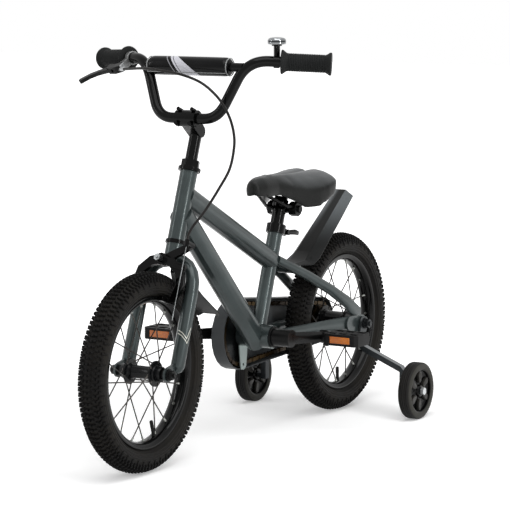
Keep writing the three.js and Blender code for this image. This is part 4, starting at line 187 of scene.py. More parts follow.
def on_steering(forward, left, along):
    """A place in the steering frame, whose last length runs up the head tube."""
    return Vector((
        steer_foot.x + forward * math.cos(head_lean) - along * math.sin(head_lean),
        left,
        steer_foot.z + forward * math.sin(head_lean) + along * math.cos(head_lean),
    ))


def closed(shape):
    """Merges doubled points and turns every face outwards."""
    bmesh.ops.remove_doubles(shape, verts=shape.verts, dist=1e-4)
    bmesh.ops.recalc_face_normals(shape, faces=shape.faces)
    return shape


def turned(profile, centre, axis, steps, ring=True, shape=None):
    """A turned shape from points (radius, along the axis). A ring joins its last point to its first."""
    shape = shape or bmesh.new()
    axis = Vector(axis).normalized()
    side = axis.orthogonal().normalized()
    up = axis.cross(side)
    rows = []
    for k in range(steps):
        angle = 2 * math.pi * k / steps
        out = side * math.cos(angle) + up * math.sin(angle)
        rows.append([shape.verts.new(centre + out * r + axis * a) for r, a in profile])
    count = len(profile)
    for k in range(steps):
        here, there = rows[k], rows[(k + 1) % steps]
        for j in range(count if ring else count - 1):
            n = (j + 1) % count
            shape.faces.new((here[j], here[n], there[n], there[j]))
    return closed(shape)


def lofted(rings, shape=None):
    """A skin over rings of points, closed at both ends."""
    shape = shape or bmesh.new()
    rows = [[shape.verts.new(p) for p in ring] for ring in rings]
    count = len(rows[0])
    for here, there in zip(rows, rows[1:]):
        for s in range(count):
            n = (s + 1) % count
            shape.faces.new((here[s], here[n], there[n], there[s]))
    shape.faces.new(rows[0])
    shape.faces.new(rows[-1])
    bmesh.ops.recalc_face_normals(shape, faces=shape.faces)
    return shape


def tube(path, radius, sides, shape=None):
    """A round tube along a path, closed at both ends."""
    headings = []
    for i in range(len(path)):
        ahead = path[min(i + 1, len(path) - 1)] - path[max(i - 1, 0)]
        headings.append(ahead.normalized())
    side = headings[0].orthogonal().normalized()
    rings = []
    for i, at in enumerate(path):
        if i:
            side = headings[i - 1].rotation_difference(headings[i]) @ side
            side = (side - headings[i] * side.dot(headings[i])).normalized()
        up = headings[i].cross(side)
        rings.append([
            at + (side * math.cos(a) + up * math.sin(a)) * radius
            for a in (2 * math.pi * s / sides for s in range(sides))
        ])
    return lofted(rings, shape)


def both_sides(half, other=None):
    """A whole section from the half on one side of its middle line, or from two unlike halves."""
    return half + [(radius, -y) for radius, y in reversed((other or half)[1:])]


def rounded_path(points, bends, steps):
    """A path through points with a rounded bend at each point inside it."""
    path = [points[0]]
    for i in range(1, len(points) - 1):
        corner, bend = points[i], bends[i - 1]
        enter = corner + (points[i - 1] - corner).normalized() * bend
        leave = corner + (points[i + 1] - corner).normalized() * bend
        for s in range(steps + 1):
            t = s / steps
            path.append(enter * (1 - t) ** 2 + corner * 2 * t * (1 - t) + leave * t * t)
    return path + [points[-1]]


def smooth_path(points, steps):
    """A curve through every point, with its speed set by the distance between the points."""
    ends = [points[0] * 2 - points[1]] + points + [points[-1] * 2 - points[-2]]
    path = []
    for i in range(1, len(ends) - 2):
        p0, p1, p2, p3 = ends[i - 1:i + 3]
        gaps = [max((b - a).length ** 0.5, 1e-6) for a, b in ((p0, p1), (p1, p2), (p2, p3))]
        t0, t1 = 0, gaps[0]
        t2 = t1 + gaps[1]
        t3 = t2 + gaps[2]
        for s in range(steps):
            t = t1 + (t2 - t1) * s / steps

            def part(a, b, start, end):
                return a * (end - t) / (end - start) + b * (t - start) / (end - start)

            a, b, c = part(p0, p1, t0, t1), part(p1, p2, t1, t2), part(p2, p3, t2, t3)
            path.append(part(part(a, b, t0, t2), part(b, c, t1, t3), t1, t2))
    return path + [points[-1]]


# Finishes

def linear(code):
    """A colour written as six hexadecimal digits, as the shader wants it."""
    parts = [int(code[i:i + 2], 16) / 255 for i in (0, 2, 4)]
    return tuple(p / 12.92 if p <= 0.04045 else ((p + 0.055) / 1.055) ** 2.4 for p in parts) + (1.0,)


def feed(tree, node, inputs):
    """Links each input that is given a socket, and sets each that is given a value."""
    for key, value in inputs.items():
        if isinstance(value, bpy.types.NodeSocket):
            tree.links.new(value, node.inputs[key])
        else:
            node.inputs[key].default_value = value


def add(tree, kind, inputs=None, **settings):
    made = tree.nodes.new(kind)
    for key, value in settings.items():
        setattr(made, key, value)
    feed(tree, made, inputs or {})
    return made


def new_material(name):
    """A material, its nodes and the object's own coordinates in them."""
    material = bpy.data.materials.new(name)
    material.use_nodes = True
    tree = material.node_tree
    return material, tree, add(tree, "ShaderNodeTexCoord").outputs["Object"]


def calc(operation, a, b=0.0):
    tree = (a if isinstance(a, bpy.types.NodeSocket) else b).id_data
    return add(tree, "ShaderNodeMath", {0: a, 1: b}, operation=operation).outputs[0]


def times(a, b):
    return calc("MULTIPLY", a, b)


def apart(value, middle):
    """How far a value is from a middle, to either side."""
    return calc("ABSOLUTE", calc("SUBTRACT", value, middle))


def distance(a, b):
    return calc("SQRT", calc("ADD", times(a, a), times(b, b)))


def mixed(share, a, b):
    """A mix of two colours, each a socket, a colour or its six digits."""
    a, b = (linear(colour) if isinstance(colour, str) else colour for colour in (a, b))
    return add(share.id_data, "ShaderNodeMix", {0: share, 6: a, 7: b}, data_type="RGBA").outputs[2]


def between(value, low, high, start=0.0, end=1.0):
    """A smooth step from start, up to low, to end, from high on."""
    inputs = {"Value": value, "From Min": low, "From Max": high, "To Min": start, "To Max": end}
    return add(value.id_data, "ShaderNodeMapRange", inputs, interpolation_type="SMOOTHSTEP").outputs[0]


def noise(coords, scale, detail=3.0):
    inputs = {"Vector": coords, "Scale": scale, "Detail": detail}
    return add(coords.id_data, "ShaderNodeTexNoise", inputs).outputs[0]


def cells(coords, scale, **settings):
    """The distance from the middles of the cells that cover a surface."""
    inputs = {"Vector": coords, "Scale": scale}
    return add(coords.id_data, "ShaderNodeTexVoronoi", inputs, **settings).outputs["Distance"]


def own_axes(coords, place=(0, 0, 0), turn=(0, 0, 0)):
    """x, y and z from a place in metres, along turned axes."""
    tree = coords.id_data
    inputs = {"Vector": coords, "Location": place, "Rotation": turn}
    mapped = add(tree, "ShaderNodeMapping", inputs, vector_type="TEXTURE").outputs[0]
    return add(tree, "ShaderNodeSeparateXYZ", {0: mapped}).outputs


def from_axle(coords, axle):
    """The distance from a wheel's axle, in metres."""
    x, _, z = own_axes(coords, axle * MM)
    return distance(x, z)


finishes = {}
patch_scale = 18
coat_roughness = 0.12
sheen_roughness = 0.4


def finish(name, colour, worn, rough, metal=0.0, coat=0.0, sheen=0.0, shine=0.15, grain=700, height=0.05,
           pattern=None, relief=None):
    """A finish whose colour and roughness drift in patches over a fine grain.
    pattern and relief are functions that paint over the colour and add to the height in millimetres."""
    finishes[name], tree, coords = new_material(name)
    patches = noise(coords, patch_scale, 4.0)
    fine = noise(coords, grain, 2.0)
    both = calc("ADD", times(patches, 0.7), times(fine, 0.3))
    painted = mixed(between(both, 0.38, 0.64), colour, worn)
    if pattern:
        painted = pattern(coords, painted)
    bumps = times(fine, height)
    if relief:
        bumps = calc("ADD", bumps, relief(coords))
    bump = add(tree, "ShaderNodeBump", {"Height": bumps, "Distance": MM, "Strength": 1.0}).outputs[0]
    feed(tree, tree.nodes["Principled BSDF"], {
        "Base Color": painted, "Roughness": between(both, 0.35, 0.7, *rough), "Normal": bump,
        "Metallic": metal, "Specular IOR Level": shine, "Coat Weight": coat, "Sheen Weight": sheen,
        "Coat Roughness": coat_roughness, "Sheen Roughness": sheen_roughness,
    })


def leg_chevrons(coords, painted):
    """Two thin pale chevrons, one under the other, low on the left fork leg."""
    place = on_steering(0, 56, 64) * MM
    x, y, z = own_axes(coords, place, (0, -head_lean, math.radians(58)))
    fold = apart(y, 0.001)
    rise = calc("SUBTRACT", z, times(fold, 1.7))
    off = apart(calc("ABSOLUTE", rise), 0.0038)
    stripe = between(off, 0.0011, 0.0014, 1, 0)
    outer_side = between(x, 0.0, 0.001)
    near_leg = between(calc("ABSOLUTE", y), 0.0115, 0.0125, 1, 0)
    share = times(times(stripe, outer_side), near_leg)
    return mixed(share, painted, "b9b8ae")


def guard_strip_highlight(coords, painted):
    """A painted highlight makes the strip that carries the chain guard lighter than the shell above it."""
    _, _, z = own_axes(coords)
    return mixed(between(z, 0.166, 0.170, 1, 0), painted, "97a2a0")


def sidewall_lines(axle):
    """Fine raised rings low on a tyre's sides."""
    def relief(coords):
        reach = from_axle(coords, axle)
        wave = calc("SINE", times(reach, 2 * math.pi / 0.0046))
        low = between(reach, 0.152, 0.157, 1, 0)
        return times(times(wave, low), 0.45)
    return relief


def guard_rims(coords, painted):
    """A lighter band near the guard's edge round the chainring."""
    reach = from_axle(coords, bracket)
    band = between(reach, 0.0555, 0.0575)
    return mixed(times(band, 0.55), painted, "55585a")


def stabiliser_sides(coords, painted):
    """A greyer ring on the side of the stabilisers' tyres."""
    _, y, _ = own_axes(coords)
    off = apart(calc("ABSOLUTE", y), stabiliser_place.y * MM)
    return mixed(between(off, 0.0108, 0.0118), painted, "34332f")


def tail_light_and_shade(coords, painted):
    """Painted light and shade on the rear mudguard: a pale right edge fading to a dark crease, darker low
    down, a paler left slope.
    """
    _, y, z = own_axes(coords)
    half = between(z, 0.300, 0.434, 0.031, 0.023)
    share = calc("DIVIDE", y, half)
    height = between(z, 0.335, 0.425)
    # Painted shade low down and painted light higher up, on both faces.
    slope = mixed(height, "161717", "5b5f61")
    flat = mixed(between(share, -0.5, 0.0), "66696b", painted)
    flat = mixed(height, "121212", flat)
    return mixed(between(share, 0.47, 0.53), flat, slope)


def arm_highlight_and_nuts(coords, painted):
    """A painted highlight makes the stabilisers' arms paler on top, and the nuts at their axles' ends are
    zinc.
    """
    tree = coords.id_data
    # Painted highlight: paler where the surface faces up.
    normal = add(tree, "ShaderNodeNewGeometry").outputs["Normal"]
    _, _, up = add(tree, "ShaderNodeSeparateXYZ", {0: normal}).outputs
    painted = mixed(between(up, 0.3, 0.8), painted, "75787a")
    _, y, _ = own_axes(coords)
    nuts = between(calc("ABSOLUTE", y), 0.1945, 0.1952)
    return mixed(nuts, painted, "c9cccd")


def lever_axes():
    """Where the lever's band sits on the right bar, and the turn of its own axes."""
    shoulder, end = on_steering(*bar_points[1]), on_steering(*bar_points[0])
    out = (end - shoulder).normalized()
    fingers = on_steering(*lever_heading) - steer_foot
    fingers = (fingers - out * fingers.dot(out)).normalized()
    turn = Matrix((out, fingers, out.cross(fingers))).transposed().to_euler()
    return end - out * lever_from_end, turn


def lever_parts(coords, painted):
    """A silver band, a black yoke under it and a bright adjuster."""
    place, turn = lever_axes()
    out, fingers, _ = own_axes(coords, place * MM, turn)
    painted = mixed(between(fingers, 0.0215, 0.0225), painted, "0a0a0a")
    return mixed(between(out, -0.0062, -0.0056, 1, 0), painted, "a3a5a6")


def saddle_sheen_and_dots(coords, painted):
    """A painted sheen makes the top greyer; the sides are darker and finely dotted."""
    top = add(coords.id_data, "ShaderNodeAttribute", attribute_name="top_sheen_share").outputs["Fac"]
    spots = between(cells(coords, 620.0), 0.18, 0.3, 1, 0)
    low = mixed(times(spots, 0.4), "0e0f0e", "222322")
    return mixed(top, low, painted)


def saddle_grain(coords):
    return times(cells(coords, 420.0), 0.11)


def pad_stripes(coords, painted):
    """A pale band, with a dark line in it, and a thin stripe that slant across the crossbar pad."""
    place = on_steering(crossbar_place[0], pad_shift, crossbar_place[1]) * MM
    _, y, z = own_axes(coords, place, (0, -head_lean, 0))
    after = calc("ADD", calc("ADD", y, 0.0269), times(z, 0.768))
    before = calc("ADD", calc("ADD", y, 0.0008), times(z, 1.486))
    band = times(between(after, 0, 0.0004), between(before, -0.0004, 0, 1, 0))
    painted = mixed(band, painted, "bfbfc6")
    inside = between(apart(after, 0.0052), 0.0006, 0.0009, 1, 0)
    painted = mixed(inside, painted, "232325")
    thin = between(apart(after, -0.0075), 0.0008, 0.0011, 1, 0)
    return mixed(thin, painted, "8b8b90")


def bell_groove_shade(coords, painted):
    """A dark band of painted shade where the groove under the bell's rim is."""
    low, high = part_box("bell_dome")
    _, _, z = own_axes(coords, (low + high) / 2)
    groove = between(apart(z, -0.001), 0.0012, 0.0018, 1, 0)
    return mixed(groove, painted, "3b3d3f")


def prism_relief(coords):
    return times(cells(coords, 380.0, distance="CHEBYCHEV"), 0.5)


def brushed(coords):
    """Fine scratches along the bike."""
    x, y, z = own_axes(coords)
    stretched = {0: times(x, 0.08), 1: y, 2: z}
    long = add(coords.id_data, "ShaderNodeCombineXYZ", stretched).outputs[0]
    return times(noise(long, 1800.0), 0.05)


def peel(coords):
    """The soft waves of sprayed paint."""
    return times(noise(coords, 150.0, 1.0), 0.035)


paint = dict(colour="313838", worn="3b4343", rough=(0.28, 0.38), metal=0.5, coat=0.3, grain=1600,
             height=0.012)
tyre = dict(colour="141312", worn="201e1b", rough=(0.6, 0.8), shine=0.12, grain=600, height=0.1)
finish("frame_paint", relief=peel, **paint)
finish("shell_paint", relief=peel, pattern=guard_strip_highlight, **paint)
finish("fork_paint", relief=peel, pattern=leg_chevrons, **paint)
finish("gloss_black", "030303", "070707", (0.12, 0.19), shine=0.12, height=0.005)
finish("crank_black", "040404", "090909", (0.24, 0.36), shine=0.14, height=0.01)
finish("satin_black", "080808", "101111", (0.28, 0.42), shine=0.12, grain=900, height=0.02)
finish("guard_plastic", "181919", "202121", (0.34, 0.48), shine=0.12, grain=1100)
finish("tail_plastic", "141515", "1c1d1d", (0.34, 0.46), shine=0.12, grain=1100, pattern=tail_light_and_shade)
finish("chain_guard_plastic", "111212", "191a1a", (0.3, 0.42), shine=0.1, grain=1100, height=0.04,
       pattern=guard_rims)
finish("front_casing", relief=sidewall_lines(front_axle), **tyre)
finish("rear_casing", relief=sidewall_lines(rear_axle), **tyre)
finish("tread_rubber", "0f0f0f", "191817", (0.62, 0.84), shine=0.1, grain=500, height=0.14)
finish("rim_black", "050505", "090a0a", (0.09, 0.16), shine=0.14, height=0.005)
finish("hub_black", "070708", "0e0f10", (0.16, 0.28), shine=0.14, height=0.012)
finish("spoke_steel", "33312f", "4a4744", (0.25, 0.4), metal=0.9, height=0.01)
finish("wire_steel", "5c5e5e", "77797a", (0.3, 0.42), metal=0.9, height=0.01)
finish("nipple_silver", "8d8e8a", "6d6e6b", (0.22, 0.4), metal=1.0, height=0.01)
finish("valve_rubber", "0e0e0e", "181818", (0.5, 0.65), height=0.04)
finish("chain_bronze", "2c231a", "46371f", (0.28, 0.46), metal=0.9, grain=900, height=0.02)
finish("dark_steel", "1a1c1d", "2a2c2e", (0.26, 0.42), metal=0.8, height=0.015)
finish("gun_metal", "2a2d2f", "393c3e", (0.28, 0.42), metal=0.7, height=0.02, relief=brushed,
       pattern=arm_highlight_and_nuts)
finish("zinc", "a2a5a6", "7f8384", (0.22, 0.4), metal=1.0, height=0.012, relief=brushed)
finish("bell_chrome", "8f9193", "7d8082", (0.07, 0.14), metal=1.0, height=0.003, pattern=bell_groove_shade)
finish("lever_silver", "7b7c7c", "909191", (0.3, 0.44), metal=0.8, height=0.02, pattern=lever_parts)
finish("grip_rubber", "121313", "1b1c1c", (0.55, 0.7), shine=0.1, grain=800, height=0.09)
finish("pedal_plastic", "0f0f0f", "181818", (0.38, 0.55), shine=0.1, grain=900, height=0.07)
finish("amber_reflector", "a85406", "bf6a0e", (0.1, 0.2), shine=0.5, height=0.01, relief=prism_relief)
finish("saddle_vinyl", "4b4d4e", "545657", (0.34, 0.46), sheen=0.1, grain=900, pattern=saddle_sheen_and_dots,
       relief=saddle_grain)
finish("pad_cover", "050506", "0a0a0b", (0.16, 0.3), shine=0.12, height=0.03, pattern=pad_stripes)
finish("pad_piping", "7e8080", "989a99", (0.4, 0.55), height=0.03)
finish("cable_cover", "131211", "1c1a19", (0.28, 0.4), height=0.01)
finish("stabiliser_tread", "131313", "1d1c1b", (0.5, 0.66), grain=800, height=0.08,
       pattern=stabiliser_sides)
finish("stabiliser_dish", "040404", "090909", (0.14, 0.24), shine=0.12, height=0.015)
finish("petal_grey", "242321", "32302d", (0.34, 0.46), shine=0.2, grain=900, height=0.03)


# Geometry Nodes: the same shape about an axle, or at each of many places

def new_tree(name, fields):
    """A tree that takes a mesh and named inputs, and what its input node gives."""
    tree = bpy.data.node_groups.new(name, "GeometryNodeTree")
    for label, kind in {"Geometry": "Geometry", **fields}.items():
        tree.interface.new_socket(label, in_out="INPUT", socket_type=f"NodeSocket{kind}")
    tree.interface.new_socket("Geometry", in_out="OUTPUT", socket_type="NodeSocketGeometry")
    return tree, add(tree, "NodeGroupInput").outputs


def end_tree(tree, instances, material):
    """Ends a tree in plain geometry with its finish on."""
    real = add(tree, "GeometryNodeRealizeInstances", {0: instances}).outputs[0]
    dressed = add(tree, "GeometryNodeSetMaterial", {"Geometry": real, "Material": material}).outputs[0]
    add(tree, "NodeGroupOutput", {0: dressed})
    return tree


def about_axle_tree():
    """Repeats the object's own mesh about an axle that runs across the bike."""
    fields = {"Count": "Int", "Axle": "Vector", "First turn": "Float", "Finish": "Material"}
    tree, given = new_tree("about_axle", fields)
    line = add(tree, "GeometryNodeMeshLine", {
        "Count": given["Count"], "Start Location": given["Axle"], "Offset": (0, 0, 0),
    }, mode="OFFSET").outputs[0]
    index = add(tree, "GeometryNodeInputIndex").outputs[0]
    step = calc("DIVIDE", 2 * math.pi, given["Count"])
    turn = calc("ADD", times(index, step), given["First turn"])
    euler = add(tree, "ShaderNodeCombineXYZ", {1: times(turn, -1.0)}).outputs[0]
    rotation = add(tree, "FunctionNodeEulerToRotation", {0: euler}).outputs[0]
    placed = add(tree, "GeometryNodeInstanceOnPoints", {
        "Points": line, "Instance": given["Geometry"], "Rotation": rotation,
    }).outputs[0]
    return end_tree(tree, placed, given["Finish"])


def at_places_tree():
    """Puts another object's mesh at each point of this one, turned by the point's own turn."""
    tree, given = new_tree("at_places", {"Shape": "Object", "Finish": "Material"})
    source = add(tree, "GeometryNodeObjectInfo", {"Object": given["Shape"]}).outputs["Geometry"]
    named = add(tree, "GeometryNodeInputNamedAttribute", {"Name": "turn"}, data_type="FLOAT_VECTOR")
    rotation = add(tree, "FunctionNodeEulerToRotation", {0: named.outputs[0]}).outputs[0]
    placed = add(tree, "GeometryNodeInstanceOnPoints", {
        "Points": given["Geometry"], "Instance": source, "Rotation": rotation,
    }).outputs[0]
    return end_tree(tree, placed, given["Finish"])


about_axle = about_axle_tree()
at_places = at_places_tree()


def loose_object(name, data):
    made = bpy.data.objects.new(name, data)
    bpy.context.scene.collection.objects.link(made)
    return made


def as_mesh(name, shape):
    """A mesh from a shape, which is used up."""
    mesh = bpy.data.meshes.new(name)
    shape.to_mesh(mesh)
    shape.free()
    return mesh


def evaluated_mesh(obj):
    """An object's mesh with its modifiers worked in."""
    evaluated = obj.evaluated_get(bpy.context.evaluated_depsgraph_get())
    return bpy.data.meshes.new_from_object(evaluated)


def grown(tree, mesh, values, joined):
    """Adds what a tree makes from a mesh to the shape joined so far."""
    seed = loose_object("seed", mesh)
    modifier = seed.modifiers.new("grow", "NODES")
    modifier.node_group = tree
    for socket in tree.interface.items_tree:
        if socket.in_out == "INPUT" and socket.name in values:
            modifier[socket.identifier] = values[socket.name]
    bpy.context.view_layer.update()
    result = evaluated_mesh(seed)
    bpy.data.objects.remove(seed)
    joined = joined or bmesh.new()
    joined.from_mesh(result)
    return joined


def around(shape, count, axle, material, first=0.0, joined=None):
    """A shape, given with the axle at zero and its reach along x, repeated about the axle."""
    values = {"Count": count, "Axle": axle, "First turn": first, "Finish": finishes[material]}
    return grown(about_axle, as_mesh("repeat", shape), values, joined)


def at_each(places, turns, shape, material, joined=None):
    """A shape repeated at places, each with its own turn."""
    mesh = bpy.data.meshes.new("places")
    mesh.from_pydata([tuple(p) for p in places], [], [])
    turn = mesh.attributes.new("turn", "FLOAT_VECTOR", "POINT")
    for i, value in enumerate(turns):
        turn.data[i].vector = value
    source = loose_object("shape", as_mesh("shape", shape))
    joined = grown(at_places, mesh, {"Shape": source, "Finish": finishes[material]}, joined)
    bpy.data.objects.remove(source)
    return joined


def dress(mesh, material):
    """Puts one finish on a mesh and shades it smooth."""
    mesh.materials.clear()
    mesh.materials.append(finishes[material])
    mesh.shade_smooth()


def piece(name, shape, material, body, stands_for=(), crease=crease_degrees):
    """A finished piece from a shape in millimetres, on its body."""
    mesh = as_mesh(name, shape)
    mesh.transform(Matrix.Scale(MM, 4))
    dress(mesh, material)
    mesh.set_sharp_from_angle(angle=math.radians(crease))
    made = loose_object(name, mesh)
    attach(made, body)
    if stands_for:
        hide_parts(*stands_for)


# The camera and the room

def aim(obj, place, target):
    obj.location = place
    obj.rotation_euler = (Vector(target) - Vector(place)).to_track_quat("-Z", "Y").to_euler()


def set_camera():
    data = bpy.data.cameras.new("camera")
    data.lens = camera_lens
    data.sensor_width = camera_sensor
    data.clip_end = camera_reach
    camera = loose_object("camera", data)
    aim(camera, camera_place, camera_target)
    bpy.context.scene.camera = camera


def white_for_camera(tree, dim):
    """1 for what the camera, a reflection or glass sees, and dim for the light on the object."""
    path = add(tree, "ShaderNodeLightPath").outputs
    seen = calc("MAXIMUM", path["Is Camera Ray"], path["Is Glossy Ray"])
    seen = calc("MAXIMUM", seen, path["Is Transmission Ray"])
    return between(seen, 0, 1, dim, 1.0)


def make_room():
    """A pale world, and a floor that looks white a little way from the bike and keeps its shadow."""
    world = bpy.data.worlds.new("studio")
    bpy.context.scene.world = world
    world.use_nodes = True
    tree = world.node_tree
    strength = white_for_camera(tree, world_level)
    feed(tree, tree.nodes["Background"], {"Color": (1, 1, 1, 1), "Strength": strength})

    shape = bmesh.new()
    shape.faces.new([shape.verts.new((a * floor_reach, b * floor_reach, 0)) for a, b in corners])
    floor = loose_object("floor", as_mesh("floor", shape))
    material, tree, coords = new_material("pale_floor")
    tint = mixed(noise(coords, 3.0), (0.93, 0.93, 0.93, 1), (0.95, 0.95, 0.95, 1))
    x, y, _ = own_axes(coords)
    glow = between(distance(x, y), glow_from, glow_to, floor_glow, 1.0)
    glow = times(white_for_camera(tree, 0.0), glow)
    feed(tree, tree.nodes["Principled BSDF"], {
        "Base Color": tint, "Roughness": 0.9, "Specular IOR Level": 0.0, "Emission Color": (1, 1, 1, 1),
        "Emission Strength": glow,
    })
    floor.data.materials.append(material)


def make_lamps():
    for name, (place, size, power) in lamps.items():
        data = bpy.data.lights.new(name, "AREA")
        data.shape = "RECTANGLE"
        data.size, data.size_y = size
        data.energy = power
        aim(loose_object(name, data), place, lamp_target)


# Wheels

def casing(axle):
    """The tyre's body: a rounded section with a few raised rings on its sides."""
    half = []
    for step in range(31):
        angle = math.radians(step * section_degrees)
        half.append((section_centre + section_rise * math.cos(angle), section_half * math.sin(angle)))
    for i in range(17, 28):
        radius, y = half[i]
        half[i] = (radius + side_ring_height * math.sin(i * 2.1), y)
    half += [(136.4, 15.8), (134.6, bead_half), (bead_radius, bead_half)]
    return turned(both_sides(half), axle, sideways, tyre_steps)


def knob(angle, wide, long, rise, skew=0.0):
    """One tapered tread block on the tyre's section at an angle from its crown, with its reach along x."""
    foot = Vector((section_centre + section_rise * math.cos(angle), section_half * math.sin(angle), 0))
    out = Vector((math.cos(angle), math.sin(angle), 0))
    across = Vector((-math.sin(angle), math.cos(angle), 0))
    ahead = Vector((0, 0, 1))
    rings = []
    for level, share in ((-knob_sink, 1.15), (rise * 0.75, 0.92), (rise, 0.7)):
        rings.append([
            foot + out * level + across * (a * wide / 2 * share) + ahead * (b * long / 2 * share + a * skew)
            for a, b in corners
        ])
    return lofted(rings)


def tread(axle):
    """The rows of blocks on both sides of the crown, and sparser lugs low on the tyre's sides."""
    step = 2 * math.pi / knobs_around
    joined = None
    for degrees, wide, long, skew, start, lower in tread_rows:
        for side in ((1,) if degrees == 0 else (1, -1)):
            seed = knob(math.radians(degrees * side), wide, long, knob_rise - lower, skew * side)
            joined = around(seed, knobs_around, axle, "tread_rubber", step * start, joined)
    for side in (1, -1):
        seed = knob(math.radians(lug_degrees * side), 7.0, 3.4, 1.6)
        joined = around(seed, knobs_around // 2, axle, "tread_rubber", step / 4, joined)
    return joined


def rim_shape(axle):
    """A narrow inner face that widens to the two flanges at the tyre's beads."""
    half = [(rim_inner, 0), (rim_inner, 4.6), (rim_inner + 0.5, 6.6), (rim_inner + 2.4, 10.6),
            (rim_inner + 4.2, 13.2), (rim_inner + 6.0, 14.7), (rim_radius - 0.9, rim_half),
            (rim_radius, rim_half - 0.7), (rim_radius, rim_half - 1.8), (rim_radius - 0.8, rim_half - 2.3),
            (bead_radius - 0.6, rim_half - 2.4)]
    return turned(both_sides(half), axle, sideways, rim_steps)


def valve(axle, lean):
    """A rubber valve that points from the rim towards the axle, with its cap on."""
    down = Vector((-math.sin(lean), 0, -math.cos(lean)))
    root = axle + down * (rim_inner + 1)
    profile = [(0, 0), (4.1, 0), (4.1, 1.6), (3.2, 2.6), (3.1, 15), (2.9, 16), (3.3, 16.4),
               (3.3, valve_length - 1), (2.6, valve_length + 0.6), (0, valve_length + 1)]
    return turned(profile, root, -down, 20, ring=False)


def spoke_run(flanges, side, sweep):
    """The ends of a spoke, from its flange to the rim, with the rim's end along x."""
    radius, spread = flanges
    foot, tip = radius - hole_inset, rim_inner + 0.6
    root = side * spread / 2 + math.copysign(lace_offset, sweep)
    start = Vector((foot * math.cos(-sweep), root, foot * math.sin(-sweep)))
    return start, Vector((tip, 0, 0))


def spoke_pieces(name, axle, flanges, body):
    """Laced spokes with their heads, and their nipples. Each set leans one way from one flange."""
    wires, nipples = None, None
    for item in range(4):
        side = 1 if item % 2 == 0 else -1
        sweep = spoke_sweep * (1 if item < 2 else -1)
        start, tip = spoke_run(flanges, side, sweep)
        away = (tip - start).normalized()
        first = 2 * math.pi * item / (4 * spoke_sets)
        wires = around(tube([start, tip], spoke_radius, 8), spoke_sets, axle, "spoke_steel", first, wires)
        head = turned([(0, -1.3), (2.2, -1.3), (2.2, 0.7), (0, 0.7)], start, sideways, 10, ring=False)
        wires = around(head, spoke_sets, axle, "spoke_steel", first, wires)
        profile = [(0, 7.5), (1.5, 7.5), (1.8, 6.8), (1.9, 3), (2.6, 2), (2.6, 0), (0, 0)]
        barrel = turned(profile, tip, -away, 10, ring=False)
        nipples = around(barrel, spoke_sets, axle, "nipple_silver", first, nipples)
    piece(f"{name}_spokes", wires, "spoke_steel", body)
    piece(f"{name}_nipples", nipples, "nipple_silver", body)


def hub_section(barrel, flange, spread, ends):
    """Half of a hub's outline from its middle to one end, with a soft curve up to the flange."""
    inner, outer = spread / 2 - flange_thick / 2, spread / 2 + flange_thick / 2
    return [(barrel, 0), (barrel, inner - 9), (barrel + 0.8, inner - 6), (barrel + 2.6, inner - 3),
            (flange - 7, inner - 0.6), (flange - 0.6, inner), (flange, inner + 0.6), (flange, outer - 0.6),
            (flange - 0.6, outer), *ends]


def front_hub():
    ends = [(14.5, 27.5), (13.4, 28.6), (13, 30), (13, 39.6), (12, 41), (4.3, 41)]
    return turned(both_sides(hub_section(11.5, *front_flanges, ends)), front_axle, sideways, hub_steps)


def rear_hub():
    left = hub_section(19, *rear_flanges, [(22.6, 28.5), (22, 29.5), (20.5, 34), (17.5, 40), (5.1, 40)])
    right = hub_section(19, *rear_flanges, [(17.5, 28.5), (16, 29.5), (15.8, 45), (14.8, 46), (5.1, 46)])
    return turned(both_sides(left, right), rear_axle, sideways, hub_steps)


def make_wheel(name, axle, lean, flanges, hub):
    body = f"{name}_wheel"
    piece(f"{name}_tyre_casing", casing(axle), f"{name}_casing", body, [f"{name}_tyre"])
    piece(f"{name}_tyre_tread", tread(axle), "tread_rubber", body)
    piece(f"{name}_rim_hoop", rim_shape(axle), "rim_black", body, [f"{name}_rim"])
    piece(f"{name}_valve", valve(axle, lean), "valve_rubber", body)
    piece(f"{name}_hub", hub, "hub_black", body, [f"{name}_hub_and_spokes"])
    spoke_pieces(name, axle, flanges, body)


# Chain

def chain_point(count):
    """A roller's place, counted in links from the top of the rear sprocket."""
    ring = chain_pitch / (2 * math.sin(math.pi / ring_teeth))
    small = chain_pitch / (2 * math.sin(math.pi / sprocket_teeth))
    drop = bracket.z - rear_axle.z
    centres = math.hypot(bracket.x - rear_axle.x, drop)
    slope = math.atan2(drop, bracket.x - rear_axle.x)
    lean = math.asin((ring - small) / centres)
    run = centres * math.cos(lean) / chain_pitch
    wrap = (math.pi + 2 * lean) * ring_teeth / (2 * math.pi)
    top = math.pi / 2 + lean
    links = count % link_count

    def on_circle(radius, centre, angle):
        return Vector((centre + radius * math.cos(angle), radius * math.sin(angle)))

    if links < run:
        place = on_circle(small, 0, top).lerp(on_circle(ring, centres, top), links / run)
    elif links < run + wrap:
        place = on_circle(ring, centres, top - (links - run) * 2 * math.pi / ring_teeth)
    elif links < 2 * run + wrap:
        share = (links - run - wrap) / run
        place = on_circle(ring, centres, -top).lerp(on_circle(small, 0, -top), share)
    else:
        place = on_circle(small, 0, -top - (links - 2 * run - wrap) * 2 * math.pi / sprocket_teeth)
    return Vector((
        rear_axle.x + place.x * math.cos(slope) - place.y * math.sin(slope),
        -chain_line,
        rear_axle.z + place.x * math.sin(slope) + place.y * math.cos(slope),
    ))


def link_plate(offset, shape=None):
    """A waisted plate about the middle of a link."""
    outline = []
    for end in (1, -1):
        for step in range(-2, 3):
            angle = math.radians(step * 42) + (0 if end > 0 else math.pi)
            x = end * chain_pitch / 2 + math.cos(angle) * link_tall / 2
            outline.append((x, math.sin(angle) * link_tall / 2))
        outline.append((0, end * link_tall * 0.33))
    rings = [[Vector((x, offset + side * plate_thick / 2, z)) for x, z in outline] for side in (-1, 1)]
    return lofted(rings, shape)


